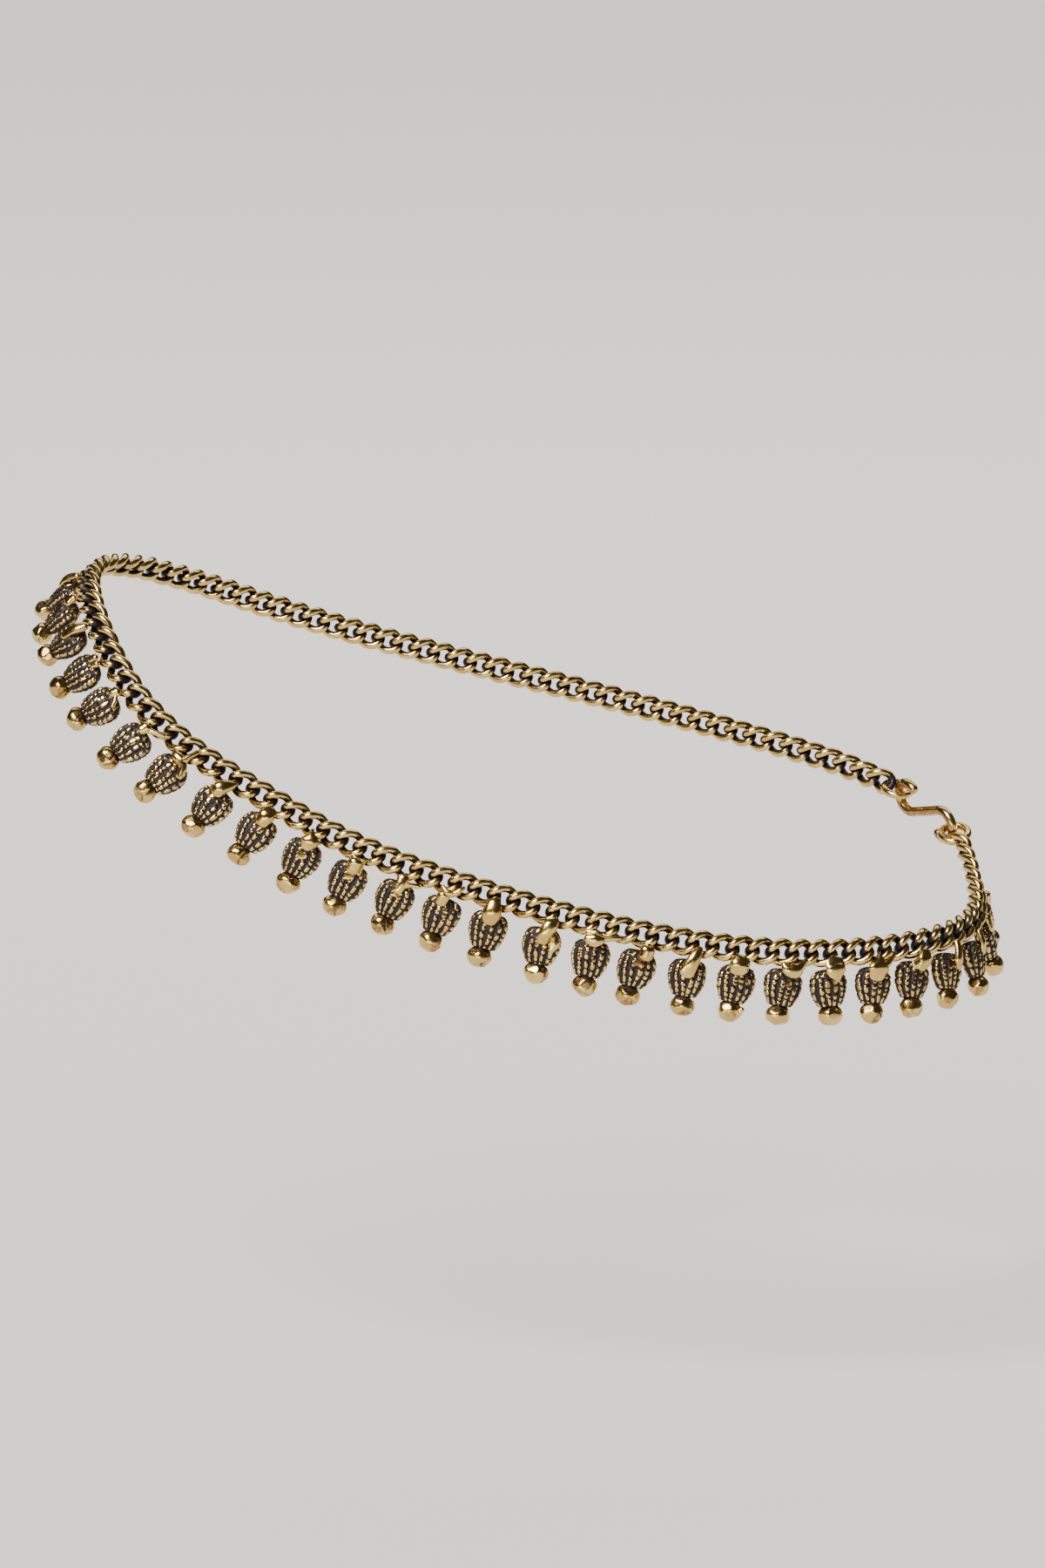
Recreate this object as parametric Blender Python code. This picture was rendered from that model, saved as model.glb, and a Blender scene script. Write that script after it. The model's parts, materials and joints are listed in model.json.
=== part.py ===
"""Payal anklet: one curb chain that goes round the ankle, with a row of small cast drops below it.

All lengths are in metres. The origin is the middle of the loop, and the ankle passes through it along Z.
The toes lie towards -X, the heel towards +X, and the side that carries the drops faces -Y.
"""
import math

import bmesh
import bpy
import numpy as np
from mathutils import Matrix, Vector

MM = 0.001

# The curb chain: wire, and the distance from one link to the next along the chain.
WIRE = 0.78 * MM
PITCH = 2.2 * MM
CHAIN_HEIGHT = 3.1 * MM
LINK_TWIST = math.radians(50)
FRONT_LINKS = 70
LINK_SIDES = 10
WIRE_SIDES = 5

# Neighbouring links press into each other by this share of the wire, which fuses them into one body.
LINK_BITE = 0.2

# The chain's route, point by point, round the loop: x, y and z in millimetres, then the lean in degrees,
# which is how far the skin below the chain slopes outwards there.
ROUTE = [
    (-47.9, 7.5, 18.6, 50),
    (-49.2, -1.3, 17.6, 50),
    (-47.3, -9.0, 13.9, 46),
    (-43.6, -15.2, 8.7, 40),
    (-37.6, -19.2, 3.5, 30),
    (-29.8, -21.3, -1.2, 20),
    (-21.9, -23.0, -5.4, 12),
    (-5.8, -25.6, -11.1, 8),
    (11.9, -26.7, -15.6, 8),
    (29.2, -24.8, -18.1, 8),
    (37.1, -21.6, -18.5, 10),
    (44.4, -16.5, -18.3, 14),
    (48.5, -9.2, -17.6, 16),
    (48.9, -0.9, -15.2, 16),
    (47.6, 6.5, -12.3, 14),
    (41.5, 15.0, -8.6, 10),
    (26.0, 22.3, -4.2, 8),
    (5.0, 25.2, 1.0, 8),
    (-16.0, 23.6, 6.8, 10),
    (-31.0, 20.2, 12.0, 18),
    (-41.5, 15.0, 16.4, 35),
]
ROUTE_SAMPLES = 4000
ROUTE_START = -2.9 * MM

# Half the stretch of chain that gives the chain's direction at a place.
DIRECTION_STEP = 0.55 * MM

# The far half of the chain is a plain round tube with the chain's own thickness.
TUBE_WIDTH = 2.6 * MM
TUBE_STEP = 6.0 * MM
TUBE_RESOLUTION = 2

# The tube's end lies this far past the centre line of its jump ring's wire, which fuses the two.
TUBE_INTO_RING = 0.2 * MM

# The clasp is a plain S hook, which holds one jump ring at each end of the chain.
CLASP_WIRE = 1.1 * MM
CLASP_EYE = 1.7 * MM
CLASP_REACH = 3.2 * MM
CLASP_CLOSING = math.radians(255)
CLASP_STEPS = 12
CLASP_RESOLUTION = 1
RING_RADIUS = 1.5 * MM

# The drops stand almost evenly along the chain. Each was soldered on by hand, so it has its own shift from
# the even place, in millimetres, and its own swing in degrees, as it hangs.
FIRST_DROP = 8.4 * MM
DROP_PITCH = 5.2 * MM
DROP_SHIFTS = [0, 0, 0.2, 0.2, 0, 0, -0.3, 0, 0.1, 0.2, 0.4, 0.5, 0.4, 0.3,
               0.9, 1.1, 1.1, 1.1, 1.3, 1.1, 0.5, 0.8, 0.5, 0.1, -0.1, -0.3, -0.4]
DROP_SWINGS = [6, -6, 8, 6, 12, 12, 14, 10, 6, 0, 4, 6, 4, 0, -4, -2, 6, 0, 6, 6, -6, 6, 12, 14, 12, 8, 8]

# One drop from the top: solder cap, granulated body and bead.
CAP_WIDTH = 2.0 * MM
CAP_HEIGHT = 0.35 * MM
BODY_WIDTH = 4.4 * MM
BODY_DEPTH = 2.2 * MM
BODY_HEIGHT = 4.1 * MM
BEAD_WIDTH = 2.5 * MM
BEAD_DEPTH = 2.1 * MM
BEAD_HEIGHT = 2.2 * MM
FLUTE_DEPTH = 0.10
DROP_SIDES = 10

# Points closer than this are one point, after a curve has become a mesh.
WELD = 0.001 * MM

# Gaps between pieces that touch on the real anklet.
SEAT_GAP = 0.15 * MM
RING_GAP = 0.15 * MM
MEETING_GAP = 0.3 * MM

# Sections down a drop. Each row holds the place as a share of its part's height, then the width and the
# depth as shares of that part's width and depth. The last column says whether the section is fluted.
CAP_SECTIONS = [
    (0.00, 0.75, 0.75, False),
    (1.00, 1.00, 1.00, False),
]
BODY_SECTIONS = [
    (0.11, 0.66, 0.70, True),
    (0.30, 0.92, 0.94, True),
    (0.55, 1.00, 1.00, True),
    (0.80, 0.84, 0.84, True),
    (0.99, 0.42, 0.50, True),
]
BEAD_SECTIONS = [
    (0.22, 0.86, 0.86, False),
    (0.54, 1.00, 1.00, False),
    (0.86, 0.66, 0.66, False),
]

GOLD = (0.55, 0.38, 0.17, 1.0)
GOLD_ROUGHNESS = 0.32


def clear_scene():
    for old in list(bpy.data.objects):
        bpy.data.objects.remove(old, do_unlink=True)


def new_collection(name):
    collection = bpy.data.collections.new(name)
    bpy.context.scene.collection.children.link(collection)
    return collection


def metal(name):
    material = bpy.data.materials.new(name)
    material.use_nodes = True
    shader = material.node_tree.nodes["Principled BSDF"]
    shader.inputs["Base Color"].default_value = GOLD
    shader.inputs["Metallic"].default_value = 1.0
    shader.inputs["Roughness"].default_value = GOLD_ROUGHNESS
    return material


def spline_slopes(rows, spans):
    """Slopes of the closed cubic spline through the rows, one for each row.

    At each point the bend on its left side equals the bend on its right side, which gives one linear
    equation a point, and the last point is followed by the first.
    """
    count = len(rows)
    matrix = np.zeros((count, count))
    right = np.zeros_like(rows)
    for i in range(count):
        before = 1.0 / spans[i - 1]
        after = 1.0 / spans[i]
        matrix[i, (i - 1) % count] = before
        matrix[i, i] = 2.0 * (before + after)
        matrix[i, (i + 1) % count] = after
        rise_before = (rows[i] - rows[i - 1]) * before ** 2
        rise_after = (rows[(i + 1) % count] - rows[i]) * after ** 2
        right[i] = 3.0 * (rise_before + rise_after)
    return np.linalg.solve(matrix, right)


def closed_spline(rows, samples):
    """Places on the closed cubic spline through the rows, with the chord length as its parameter."""
    following = np.roll(rows, -1, axis=0)
    spans = np.linalg.norm((following - rows)[:, :3], axis=1)
    slopes = spline_slopes(rows, spans)
    starts = np.concatenate([[0.0], np.cumsum(spans)])
    values = np.linspace(0.0, starts[-1], samples, endpoint=False)
    segment = np.clip(np.searchsorted(starts, values, side="right") - 1, 0, len(rows) - 1)
    span = spans[segment][:, None]
    share = (values - starts[segment])[:, None] / span
    first = rows[segment]
    last = following[segment]
    leave = slopes[segment] * span
    arrive = np.roll(slopes, -1, axis=0)[segment] * span
    return (first * (1 + 2 * share) * (1 - share) ** 2 + leave * share * (1 - share) ** 2
            + last * share ** 2 * (3 - 2 * share) + arrive * share ** 2 * (share - 1))


def measured_route():
    """The route as dense places, their distance along the loop, and the loop's whole length."""
    rows = np.array(ROUTE, dtype=float)
    rows[:, :3] *= MM
    dense = closed_spline(rows, ROUTE_SAMPLES)
    closed = np.vstack([dense, dense[:1]])
    steps = np.linalg.norm(np.diff(closed[:, :3], axis=0), axis=1)
    distance = np.concatenate([[0.0], np.cumsum(steps)])
    return closed, distance, distance[-1]


ROUTE_PLACES, ROUTE_DISTANCE, LOOP_LENGTH = measured_route()


def route_values(distance):
    """Place and lean at a distance along the loop, which runs on past its start."""
    along = distance % LOOP_LENGTH
    return [float(np.interp(along, ROUTE_DISTANCE, ROUTE_PLACES[:, column])) for column in range(4)]


def route_place(distance):
    return Vector(route_values(distance)[:3])


def skin_frame(place, along, lean):
    """Matrix whose X runs along the chain, Y points at the skin and Z points up the skin."""
    level_out = along.cross(Vector((0, 0, 1))).normalized()
    level_up = level_out.cross(along)
    out = level_out * math.cos(lean) + level_up * math.sin(lean)
    up = level_up * math.cos(lean) - level_out * math.sin(lean)
    frame = Matrix((along, -out, up)).transposed().to_4x4()
    frame.translation = place
    return frame


def route_frame(distance):
    along = (route_place(distance + DIRECTION_STEP) - route_place(distance - DIRECTION_STEP)).normalized()
    lean = math.radians(route_values(distance)[3])
    return skin_frame(route_place(distance), along, lean)


LINK_LENGTH = PITCH + (1 - LINK_BITE) * WIRE
LINK_WIDTH = CHAIN_HEIGHT - WIRE
CHAIN_END = ROUTE_START + (FRONT_LINKS - 1) * PITCH + LINK_LENGTH / 2

# Distances along the loop of the two jump rings and of the clasp between them.
RING_INSIDE = (1 - LINK_BITE) * WIRE
FIRST_RING = CHAIN_END + RING_RADIUS - RING_INSIDE
EYE_IN_RING = (CLASP_WIRE + WIRE) / 2 + RING_GAP
RING_TO_RING = 2 * (CLASP_REACH + CLASP_EYE - EYE_IN_RING + RING_RADIUS)
SECOND_RING = FIRST_RING + RING_TO_RING
TUBE_START = SECOND_RING + RING_RADIUS - TUBE_INTO_RING
TUBE_END = ROUTE_START + LOOP_LENGTH - LINK_LENGTH / 2 - WIRE / 2 - MEETING_GAP


def link_loop(frame):
    """Wire centre of one curb link: an oval whose two halves are twisted out of its plane."""
    points = []
    for k in range(LINK_SIDES):
        turn = 2 * math.pi * k / LINK_SIDES
        reach = LINK_LENGTH / 2 * math.cos(turn)
        rise = LINK_WIDTH / 2 * math.sin(turn)
        twist = LINK_TWIST * math.cos(turn)
        points.append(frame @ Vector((reach, rise * math.sin(twist), rise * math.cos(twist))))
    return points


def ring_loop(frame):
    """Wire centre of one jump ring, which lies across the links, level with the chain."""
    points = []
    for k in range(LINK_SIDES):
        turn = 2 * math.pi * k / LINK_SIDES
        points.append(frame @ Vector((RING_RADIUS * math.cos(turn), RING_RADIUS * math.sin(turn), 0)))
    return points


def wire_profile(radius, sides):
    """A flat loop that a wire is swept with."""
    curve = bpy.data.curves.new("wire_profile", "CURVE")
    spline = curve.splines.new("POLY")
    spline.points.add(sides - 1)
    for k in range(sides):
        turn = 2 * math.pi * k / sides
        spline.points[k].co = (radius * math.cos(turn), radius * math.sin(turn), 0, 1)
    spline.use_cyclic_u = True
    profile = bpy.data.objects.new("wire_profile", curve)
    bpy.context.scene.collection.objects.link(profile)
    return profile


def poly_spline(curve, points, cyclic):
    spline = curve.splines.new("POLY")
    spline.points.add(len(points) - 1)
    for slot, point in zip(spline.points, points):
        slot.co = (*point, 1)
    spline.use_cyclic_u = cyclic


def curve_as_mesh(shape, name):
    """A mesh object with the evaluated form of a curve object, which is removed."""
    bpy.context.view_layer.update()
    evaluated = shape.evaluated_get(bpy.context.evaluated_depsgraph_get())
    mesh = bpy.data.meshes.new_from_object(evaluated)
    world = shape.matrix_world.copy()
    bpy.data.objects.remove(shape, do_unlink=True)
    work = bmesh.new()
    work.from_mesh(mesh)
    bmesh.ops.remove_doubles(work, verts=work.verts, dist=WELD)
    bmesh.ops.recalc_face_normals(work, faces=work.faces)
    work.to_mesh(mesh)
    work.free()
    result = bpy.data.objects.new(name, mesh)
    result.matrix_world = world
    return result


def wire_loops(name, loops):
    """Closed wires, one for each loop, as one mesh object."""
    curve = bpy.data.curves.new(name, "CURVE")
    curve.dimensions = "3D"
    for loop in loops:
        poly_spline(curve, loop, True)
    profile = wire_profile(WIRE / 2, WIRE_SIDES)
    curve.bevel_mode = "OBJECT"
    curve.bevel_object = profile
    shape = bpy.data.objects.new(name, curve)
    bpy.context.scene.collection.objects.link(shape)
    result = curve_as_mesh(shape, name)
    bpy.data.objects.remove(profile, do_unlink=True)
    return result


def add_part(shape, collection, material):
    collection.objects.link(shape)
    shape.data.materials.clear()
    shape.data.materials.append(material)


def join_by_union(shape, other, helpers):
    """Fuses a helper into the shape, and hides the helper."""
    helpers.objects.link(other)
    other.hide_render = True
    other.display_type = "WIRE"
    union = shape.modifiers.new("fuse", "BOOLEAN")
    union.operation = "UNION"
    union.solver = "EXACT"
    union.object = other


def make_front_chain(parts, helpers, material):
    """Every other link in one mesh, the links between them in another, and the two fused."""
    loops = [link_loop(route_frame(ROUTE_START + k * PITCH)) for k in range(FRONT_LINKS)]
    loops.append(ring_loop(route_frame(FIRST_RING)))
    chain = wire_loops("curb_chain", loops[0::2])
    between = wire_loops("links_between", loops[1::2])
    add_part(chain, parts, material)
    join_by_union(chain, between, helpers)


def make_back_chain(parts, helpers, material):
    """The far stretch as a tube, with the jump ring at its clasp end."""
    count = math.ceil((TUBE_END - TUBE_START) / TUBE_STEP) + 1
    curve = bpy.data.curves.new("back_chain", "CURVE")
    curve.dimensions = "3D"
    curve.bevel_depth = TUBE_WIDTH / 2
    curve.bevel_resolution = TUBE_RESOLUTION
    curve.use_fill_caps = True
    poly_spline(curve, [route_place(float(s)) for s in np.linspace(TUBE_START, TUBE_END, count)], False)
    shape = bpy.data.objects.new("back_chain", curve)
    bpy.context.scene.collection.objects.link(shape)
    tube = curve_as_mesh(shape, "back_chain")
    ring = wire_loops("back_ring", [ring_loop(route_frame(SECOND_RING))])
    add_part(tube, parts, material)
    join_by_union(tube, ring, helpers)


def clasp_half():
    """One eye of the S hook and the shank up to the middle, from the wire's end inwards."""
    slant = math.acos(CLASP_EYE / CLASP_REACH)
    points = []
    for k in range(CLASP_STEPS + 1):
        turn = slant + CLASP_CLOSING * (1 - k / CLASP_STEPS)
        points.append(Vector((-CLASP_REACH + CLASP_EYE * math.cos(turn), 0, CLASP_EYE * math.sin(turn))))
    return points


def make_clasp(parts, material):
    """A plain S hook: two eyes and a slanting shank, which lies flat on the skin."""
    first = clasp_half()
    second = [-point for point in reversed(first)]
    curve = bpy.data.curves.new("clasp", "CURVE")
    curve.dimensions = "3D"
    curve.bevel_depth = CLASP_WIRE / 2
    curve.bevel_resolution = CLASP_RESOLUTION
    curve.use_fill_caps = True
    poly_spline(curve, first + second, False)
    clasp = bpy.data.objects.new("clasp", curve)
    start = route_place(FIRST_RING)
    end = route_place(SECOND_RING)
    lean = math.radians(route_values((FIRST_RING + SECOND_RING) / 2)[3])
    clasp.matrix_world = skin_frame((start + end) / 2, (end - start).normalized(), lean)
    add_part(clasp, parts, material)


def drop_rows():
    """All sections of a drop: height below the cap's top, half width, half depth, fluted."""
    rows = []
    top = 0.0
    for sections, height, width, depth in (
        (CAP_SECTIONS, CAP_HEIGHT, CAP_WIDTH, CAP_WIDTH),
        (BODY_SECTIONS, BODY_HEIGHT, BODY_WIDTH, BODY_DEPTH),
        (BEAD_SECTIONS, BEAD_HEIGHT, BEAD_WIDTH, BEAD_DEPTH),
    ):
        for place, wide, deep, fluted in sections:
            rows.append((top + place * height, wide * width / 2, deep * depth / 2, fluted))
        top += height
    return rows, top


def drop_mesh():
    """A drop as a loft down its axis: Z is zero at the cap's top, and the drop hangs below it."""
    rows, length = drop_rows()
    work = bmesh.new()
    rings = []
    for height, wide, deep, fluted in rows:
        ring = []
        for k in range(DROP_SIDES):
            turn = 2 * math.pi * k / DROP_SIDES
            size = 1 - FLUTE_DEPTH if fluted and k % 2 else 1
            ring.append(work.verts.new((size * wide * math.cos(turn), size * deep * math.sin(turn), -height)))
        rings.append(ring)
    for upper, lower in zip(rings, rings[1:]):
        for k in range(DROP_SIDES):
            following = (k + 1) % DROP_SIDES
            work.faces.new((upper[k], lower[k], lower[following], upper[following]))
    work.faces.new(rings[0])
    tip = work.verts.new((0, 0, -length))
    for k in range(DROP_SIDES):
        work.faces.new((rings[-1][k], tip, rings[-1][(k + 1) % DROP_SIDES]))
    bmesh.ops.recalc_face_normals(work, faces=work.faces)
    mesh = bpy.data.meshes.new("drop")
    work.to_mesh(mesh)
    work.free()
    mesh.shade_smooth()
    return mesh


def make_drops(parts, material):
    """Each drop hangs from the chain's lower limbs, square to the chain but for its own swing."""
    mesh = drop_mesh()
    mesh.materials.append(material)
    below_limb = Matrix.Translation((0, 0, -(CHAIN_HEIGHT / 2 + SEAT_GAP)))
    for k, (shift, swing) in enumerate(zip(DROP_SHIFTS, DROP_SWINGS)):
        drop = bpy.data.objects.new(f"drop_{k + 1:02d}", mesh)
        hung = route_frame(ROUTE_START + FIRST_DROP + k * DROP_PITCH + shift * MM) @ below_limb
        drop.matrix_world = hung @ Matrix.Rotation(math.radians(swing), 4, "Y")
        parts.objects.link(drop)


def main():
    clear_scene()
    parts = new_collection("payal_anklet")
    helpers = new_collection("helpers")
    gold = metal("antique_gold")
    make_front_chain(parts, helpers, gold)
    make_back_chain(parts, helpers, gold)
    make_clasp(parts, gold)
    make_drops(parts, gold)


main()
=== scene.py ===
# %% [markdown]
# # A payal anklet in antique gold
#
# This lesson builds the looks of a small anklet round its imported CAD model. The real one is a curb chain
# of round brass wire, with a row of little cast drops soldered under it. Its finish is antique gold: the
# whole piece was blackened first, and then the high places were rubbed bright again.
#
# The CAD model gives the places of everything in metres. Each step below works out a finer surface as
# numpy arrays and puts it where the CAD solid is.

# %% Load the frame
import json
import math

import bpy
import numpy as np
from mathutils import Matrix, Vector

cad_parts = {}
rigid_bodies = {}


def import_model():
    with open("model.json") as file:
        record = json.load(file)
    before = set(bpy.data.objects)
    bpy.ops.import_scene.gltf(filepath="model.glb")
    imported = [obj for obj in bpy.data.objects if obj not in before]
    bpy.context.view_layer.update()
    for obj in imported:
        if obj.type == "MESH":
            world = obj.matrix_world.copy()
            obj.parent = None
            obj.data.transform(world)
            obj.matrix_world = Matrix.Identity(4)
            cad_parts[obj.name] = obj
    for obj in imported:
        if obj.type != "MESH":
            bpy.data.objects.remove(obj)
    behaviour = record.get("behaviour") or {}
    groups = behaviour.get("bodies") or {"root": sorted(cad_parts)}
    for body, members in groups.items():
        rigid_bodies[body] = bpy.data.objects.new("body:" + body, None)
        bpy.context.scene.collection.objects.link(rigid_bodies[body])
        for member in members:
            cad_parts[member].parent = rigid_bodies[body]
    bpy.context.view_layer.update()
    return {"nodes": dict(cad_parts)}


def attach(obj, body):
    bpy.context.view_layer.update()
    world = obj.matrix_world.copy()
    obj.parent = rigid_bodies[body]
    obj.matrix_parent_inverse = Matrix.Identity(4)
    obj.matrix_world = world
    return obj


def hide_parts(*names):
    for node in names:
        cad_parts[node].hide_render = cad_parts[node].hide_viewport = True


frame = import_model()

MM = 0.001
print("CAD nodes:", len(frame["nodes"]))

# %% [markdown]
# ## The route of the chain
#
# A worn anklet has no plane of its own: the chain lies high on the instep and low under the heel, and it
# follows the skin all the way. One could draw that line as a Bezier curve by hand. Here the line is a
# closed cubic spline through the same measured points as in the CAD source, because then every link and
# every drop lands exactly on its solid.
#
# Each row holds x, y and z in millimetres, and the lean of the skin in degrees.

# %% Points of the route
ROUTE = np.array([
    (-47.9, 7.5, 18.6, 50),
    (-49.2, -1.3, 17.6, 50),
    (-47.3, -9.0, 13.9, 46),
    (-43.6, -15.2, 8.7, 40),
    (-37.6, -19.2, 3.5, 30),
    (-29.8, -21.3, -1.2, 20),
    (-21.9, -23.0, -5.4, 12),
    (-5.8, -25.6, -11.1, 8),
    (11.9, -26.7, -15.6, 8),
    (29.2, -24.8, -18.1, 8),
    (37.1, -21.6, -18.5, 10),
    (44.4, -16.5, -18.3, 14),
    (48.5, -9.2, -17.6, 16),
    (48.9, -0.9, -15.2, 16),
    (47.6, 6.5, -12.3, 14),
    (41.5, 15.0, -8.6, 10),
    (26.0, 22.3, -4.2, 8),
    (5.0, 25.2, 1.0, 8),
    (-16.0, 23.6, 6.8, 10),
    (-31.0, 20.2, 12.0, 18),
    (-41.5, 15.0, 16.4, 35),
], dtype=float)
ROUTE[:, :3] *= MM
ROUTE_SAMPLES = 4000


# %% The closed spline as arrays
def spline_slopes(rows, spans):
    """Slope of the closed cubic spline at each row.

    At every point the bend on its left side equals the bend on its right side. That is one linear
    equation a point, and the last point is followed by the first.
    """
    before = 1 / np.roll(spans, 1)
    after = 1 / spans
    here = np.arange(len(rows))
    matrix = np.zeros((len(rows), len(rows)))
    matrix[here, here - 1] = before
    matrix[here, here] = 2 * (before + after)
    matrix[here, (here + 1) % len(rows)] = after
    rise_before = (rows - np.roll(rows, 1, axis=0)) * before[:, None] ** 2
    rise_after = (np.roll(rows, -1, axis=0) - rows) * after[:, None] ** 2
    return np.linalg.solve(matrix, 3 * (rise_before + rise_after))


def hermite(first, last, leave, arrive, share):
    """A cubic between two rows: four cubics of the share blend both rows and their slopes."""
    return (first * (1 + 2 * share) * (1 - share) ** 2 + leave * share * (1 - share) ** 2
            + last * share ** 2 * (3 - 2 * share) + arrive * share ** 2 * (share - 1))


def closed_spline(rows, samples):
    """Samples on the closed spline, with Hermite's cubic between each two rows."""
    following = np.roll(rows, -1, axis=0)
    spans = np.linalg.norm((following - rows)[:, :3], axis=1)
    slopes = spline_slopes(rows, spans)
    starts = np.concatenate([[0], np.cumsum(spans)])
    values = np.linspace(0, starts[-1], samples, endpoint=False)
    segment = np.clip(np.searchsorted(starts, values, side="right") - 1, 0, len(rows) - 1)
    span = spans[segment][:, None]
    share = (values - starts[segment])[:, None] / span
    leave = slopes[segment] * span
    arrive = np.roll(slopes, -1, axis=0)[segment] * span
    return hermite(rows[segment], following[segment], leave, arrive, share)


# %% Measure along the route
def distances_along(line):
    """Distance from a line's start to each of its points: the sum of the steps before it."""
    return np.concatenate([[0], np.cumsum(np.linalg.norm(np.diff(line[:, :3], axis=0), axis=1))])


dense_route = closed_spline(ROUTE, ROUTE_SAMPLES)
dense_route = np.vstack([dense_route, dense_route[:1]])
route_distance = distances_along(dense_route)
LOOP_LENGTH = route_distance[-1]
print("length of the whole loop in mm:", round(LOOP_LENGTH / MM, 1))


# %% Frames that stand on the skin
def unit(vectors):
    """Each vector divided by its own length."""
    return vectors / np.linalg.norm(vectors, axis=-1, keepdims=True)


def route_rows(distance):
    """x, y, z and lean at each distance along the loop, which runs on past its start."""
    along = np.asarray(distance, dtype=float) % LOOP_LENGTH
    return np.stack([np.interp(along, route_distance, column) for column in dense_route.T], axis=-1)


def skin_axes(along, lean):
    """Three axes as matrix columns: X along the chain, Y into the skin and Z up the skin.

    The level direction out of the skin is the chain's direction crossed with up. Both it and the
    direction up are then turned about the chain by the lean.
    """
    level_out = unit(np.cross(along, (0, 0, 1)))
    level_up = np.cross(level_out, along)
    cosine = np.cos(lean)[..., None]
    sine = np.sin(lean)[..., None]
    out = level_out * cosine + level_up * sine
    up = level_up * cosine - level_out * sine
    return np.stack([along, -out, up], axis=-1)


DIRECTION_STEP = 0.55 * MM


def route_frames(distance):
    """Axes and place of the skin frame at each distance along the loop."""
    distance = np.asarray(distance, dtype=float)
    rows = route_rows(distance)
    chord = route_rows(distance + DIRECTION_STEP) - route_rows(distance - DIRECTION_STEP)
    return skin_axes(unit(chord[..., :3]), np.radians(rows[..., 3])), rows[..., :3]


def placed(points, axes, places):
    """Copies of local points in every frame: the axes turn them and the place moves them."""
    return places[:, None, :] + np.einsum("nij,mj->nmi", axes, points)


# %% [markdown]
# ## The camera
#
# The picture was taken with a long lens, a little above the anklet. The lens and the distance follow from
# the size of the links in the picture, which is about ten pixels a millimetre. The camera is made first,
# so that every later step can be looked at from the real view.


# %% One new object in the scene
def add_object(name, data):
    """A new object with this data, linked into the scene."""
    thing = bpy.data.objects.new(name, data)
    bpy.context.scene.collection.objects.link(thing)
    return thing


# %% Camera
IMAGE_WIDTH = 1200
IMAGE_HEIGHT = 1800
ELEVATION = math.radians(12)
DISTANCE = 746.8 * MM
FOCAL_PIXELS = 7724
SENSOR_HEIGHT = 36.0
ORIGIN_PIXEL = (613.5, 852.3)

camera_right = np.array([1, 0, 0])
camera_up = np.array([0, math.sin(ELEVATION), math.cos(ELEVATION)])
camera_back = np.array([0, -math.cos(ELEVATION), math.sin(ELEVATION)])
metres_per_pixel = DISTANCE / FOCAL_PIXELS
aim = (camera_right * (IMAGE_WIDTH / 2 - ORIGIN_PIXEL[0])
       + camera_up * (ORIGIN_PIXEL[1] - IMAGE_HEIGHT / 2)) * metres_per_pixel

camera_data = bpy.data.cameras.new("camera")
camera_data.sensor_fit = "VERTICAL"
camera_data.sensor_height = SENSOR_HEIGHT
camera_data.lens = FOCAL_PIXELS / IMAGE_HEIGHT * SENSOR_HEIGHT
camera_data.clip_start = 0.01
camera_data.clip_end = 50
camera = add_object("camera", camera_data)
camera.location = aim + camera_back * DISTANCE
camera.rotation_euler = (math.pi / 2 - ELEVATION, 0, 0)
bpy.context.scene.camera = camera
print("lens in mm:", round(camera_data.lens, 1), "pixels a millimetre:", round(MM / metres_per_pixel, 2))

# %% [markdown]
# ## From arrays to meshes
#
# All shapes here are rows of rings: an array of points with one axis along the shape and one around it.
# A ring meets the next ring in quads. A wire that closes on itself joins its last ring to its first, and
# an open shape ends in a fan round one middle point, so no seam or pole is left open.
#
# Blender's own primitives and curves could make such forms too, but arrays let one formula set the
# shape, and at the same time say where the metal is rubbed bright and, on the links, where shade is painted.


# %% Shells of rings
def ring_shell(rings, wear_and_shade, looped=False):
    """A closed shell: points, quads, triangles and the value of wear and painted shade at each point.

    Place j of ring i joins place j of ring i + 1 and both places j + 1, and the last place joins the
    first. When looped, the last ring joins the first one. Otherwise a fan round its mean closes each end.
    """
    count, sides = rings.shape[:2]
    first, place = np.meshgrid(np.arange(count if looped else count - 1), np.arange(sides), indexing="ij")
    second = (first + 1) % count
    beside = (place + 1) % sides
    quads = np.stack([first * sides + place, second * sides + place,
                      second * sides + beside, first * sides + beside], axis=-1).reshape(-1, 4)
    points = rings.reshape(-1, 3)
    values = np.broadcast_to(wear_and_shade, (count, sides)).reshape(-1)
    triangles = np.zeros((0, 3), dtype=int)
    if not looped:
        place = np.arange(sides)
        beside = (place + 1) % sides
        last_ring = (count - 1) * sides
        start = np.stack([np.full(sides, len(points)), place, beside], axis=-1)
        end = np.stack([np.full(sides, len(points) + 1), last_ring + beside, last_ring + place], axis=-1)
        triangles = np.vstack([start, end])
        points = np.vstack([points, rings[0].mean(axis=0), rings[-1].mean(axis=0)])
        values = np.concatenate([values, [values[:sides].mean(), values[-sides:].mean()]])
    return points, quads, triangles, values


def join_shells(shells):
    """Several shells as one: each shell's faces count on from the points before it."""
    starts = np.cumsum([0] + [len(shell[0]) for shell in shells[:-1]])
    points = np.vstack([shell[0] for shell in shells])
    quads = np.vstack([shell[1] + start for shell, start in zip(shells, starts)])
    triangles = np.vstack([shell[2] + start for shell, start in zip(shells, starts)])
    return points, quads, triangles, np.concatenate([shell[3] for shell in shells])


def repeat_shell(shell, copies, wear_and_shade):
    """One shell's faces for many placed copies of its points, given as an array of copies."""
    points, quads, triangles, _ = shell
    starts = (np.arange(len(copies)) * len(points))[:, None, None]
    return (copies.reshape(-1, 3), (quads[None] + starts).reshape(-1, 4),
            (triangles[None] + starts).reshape(-1, 3), wear_and_shade.reshape(-1))


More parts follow.
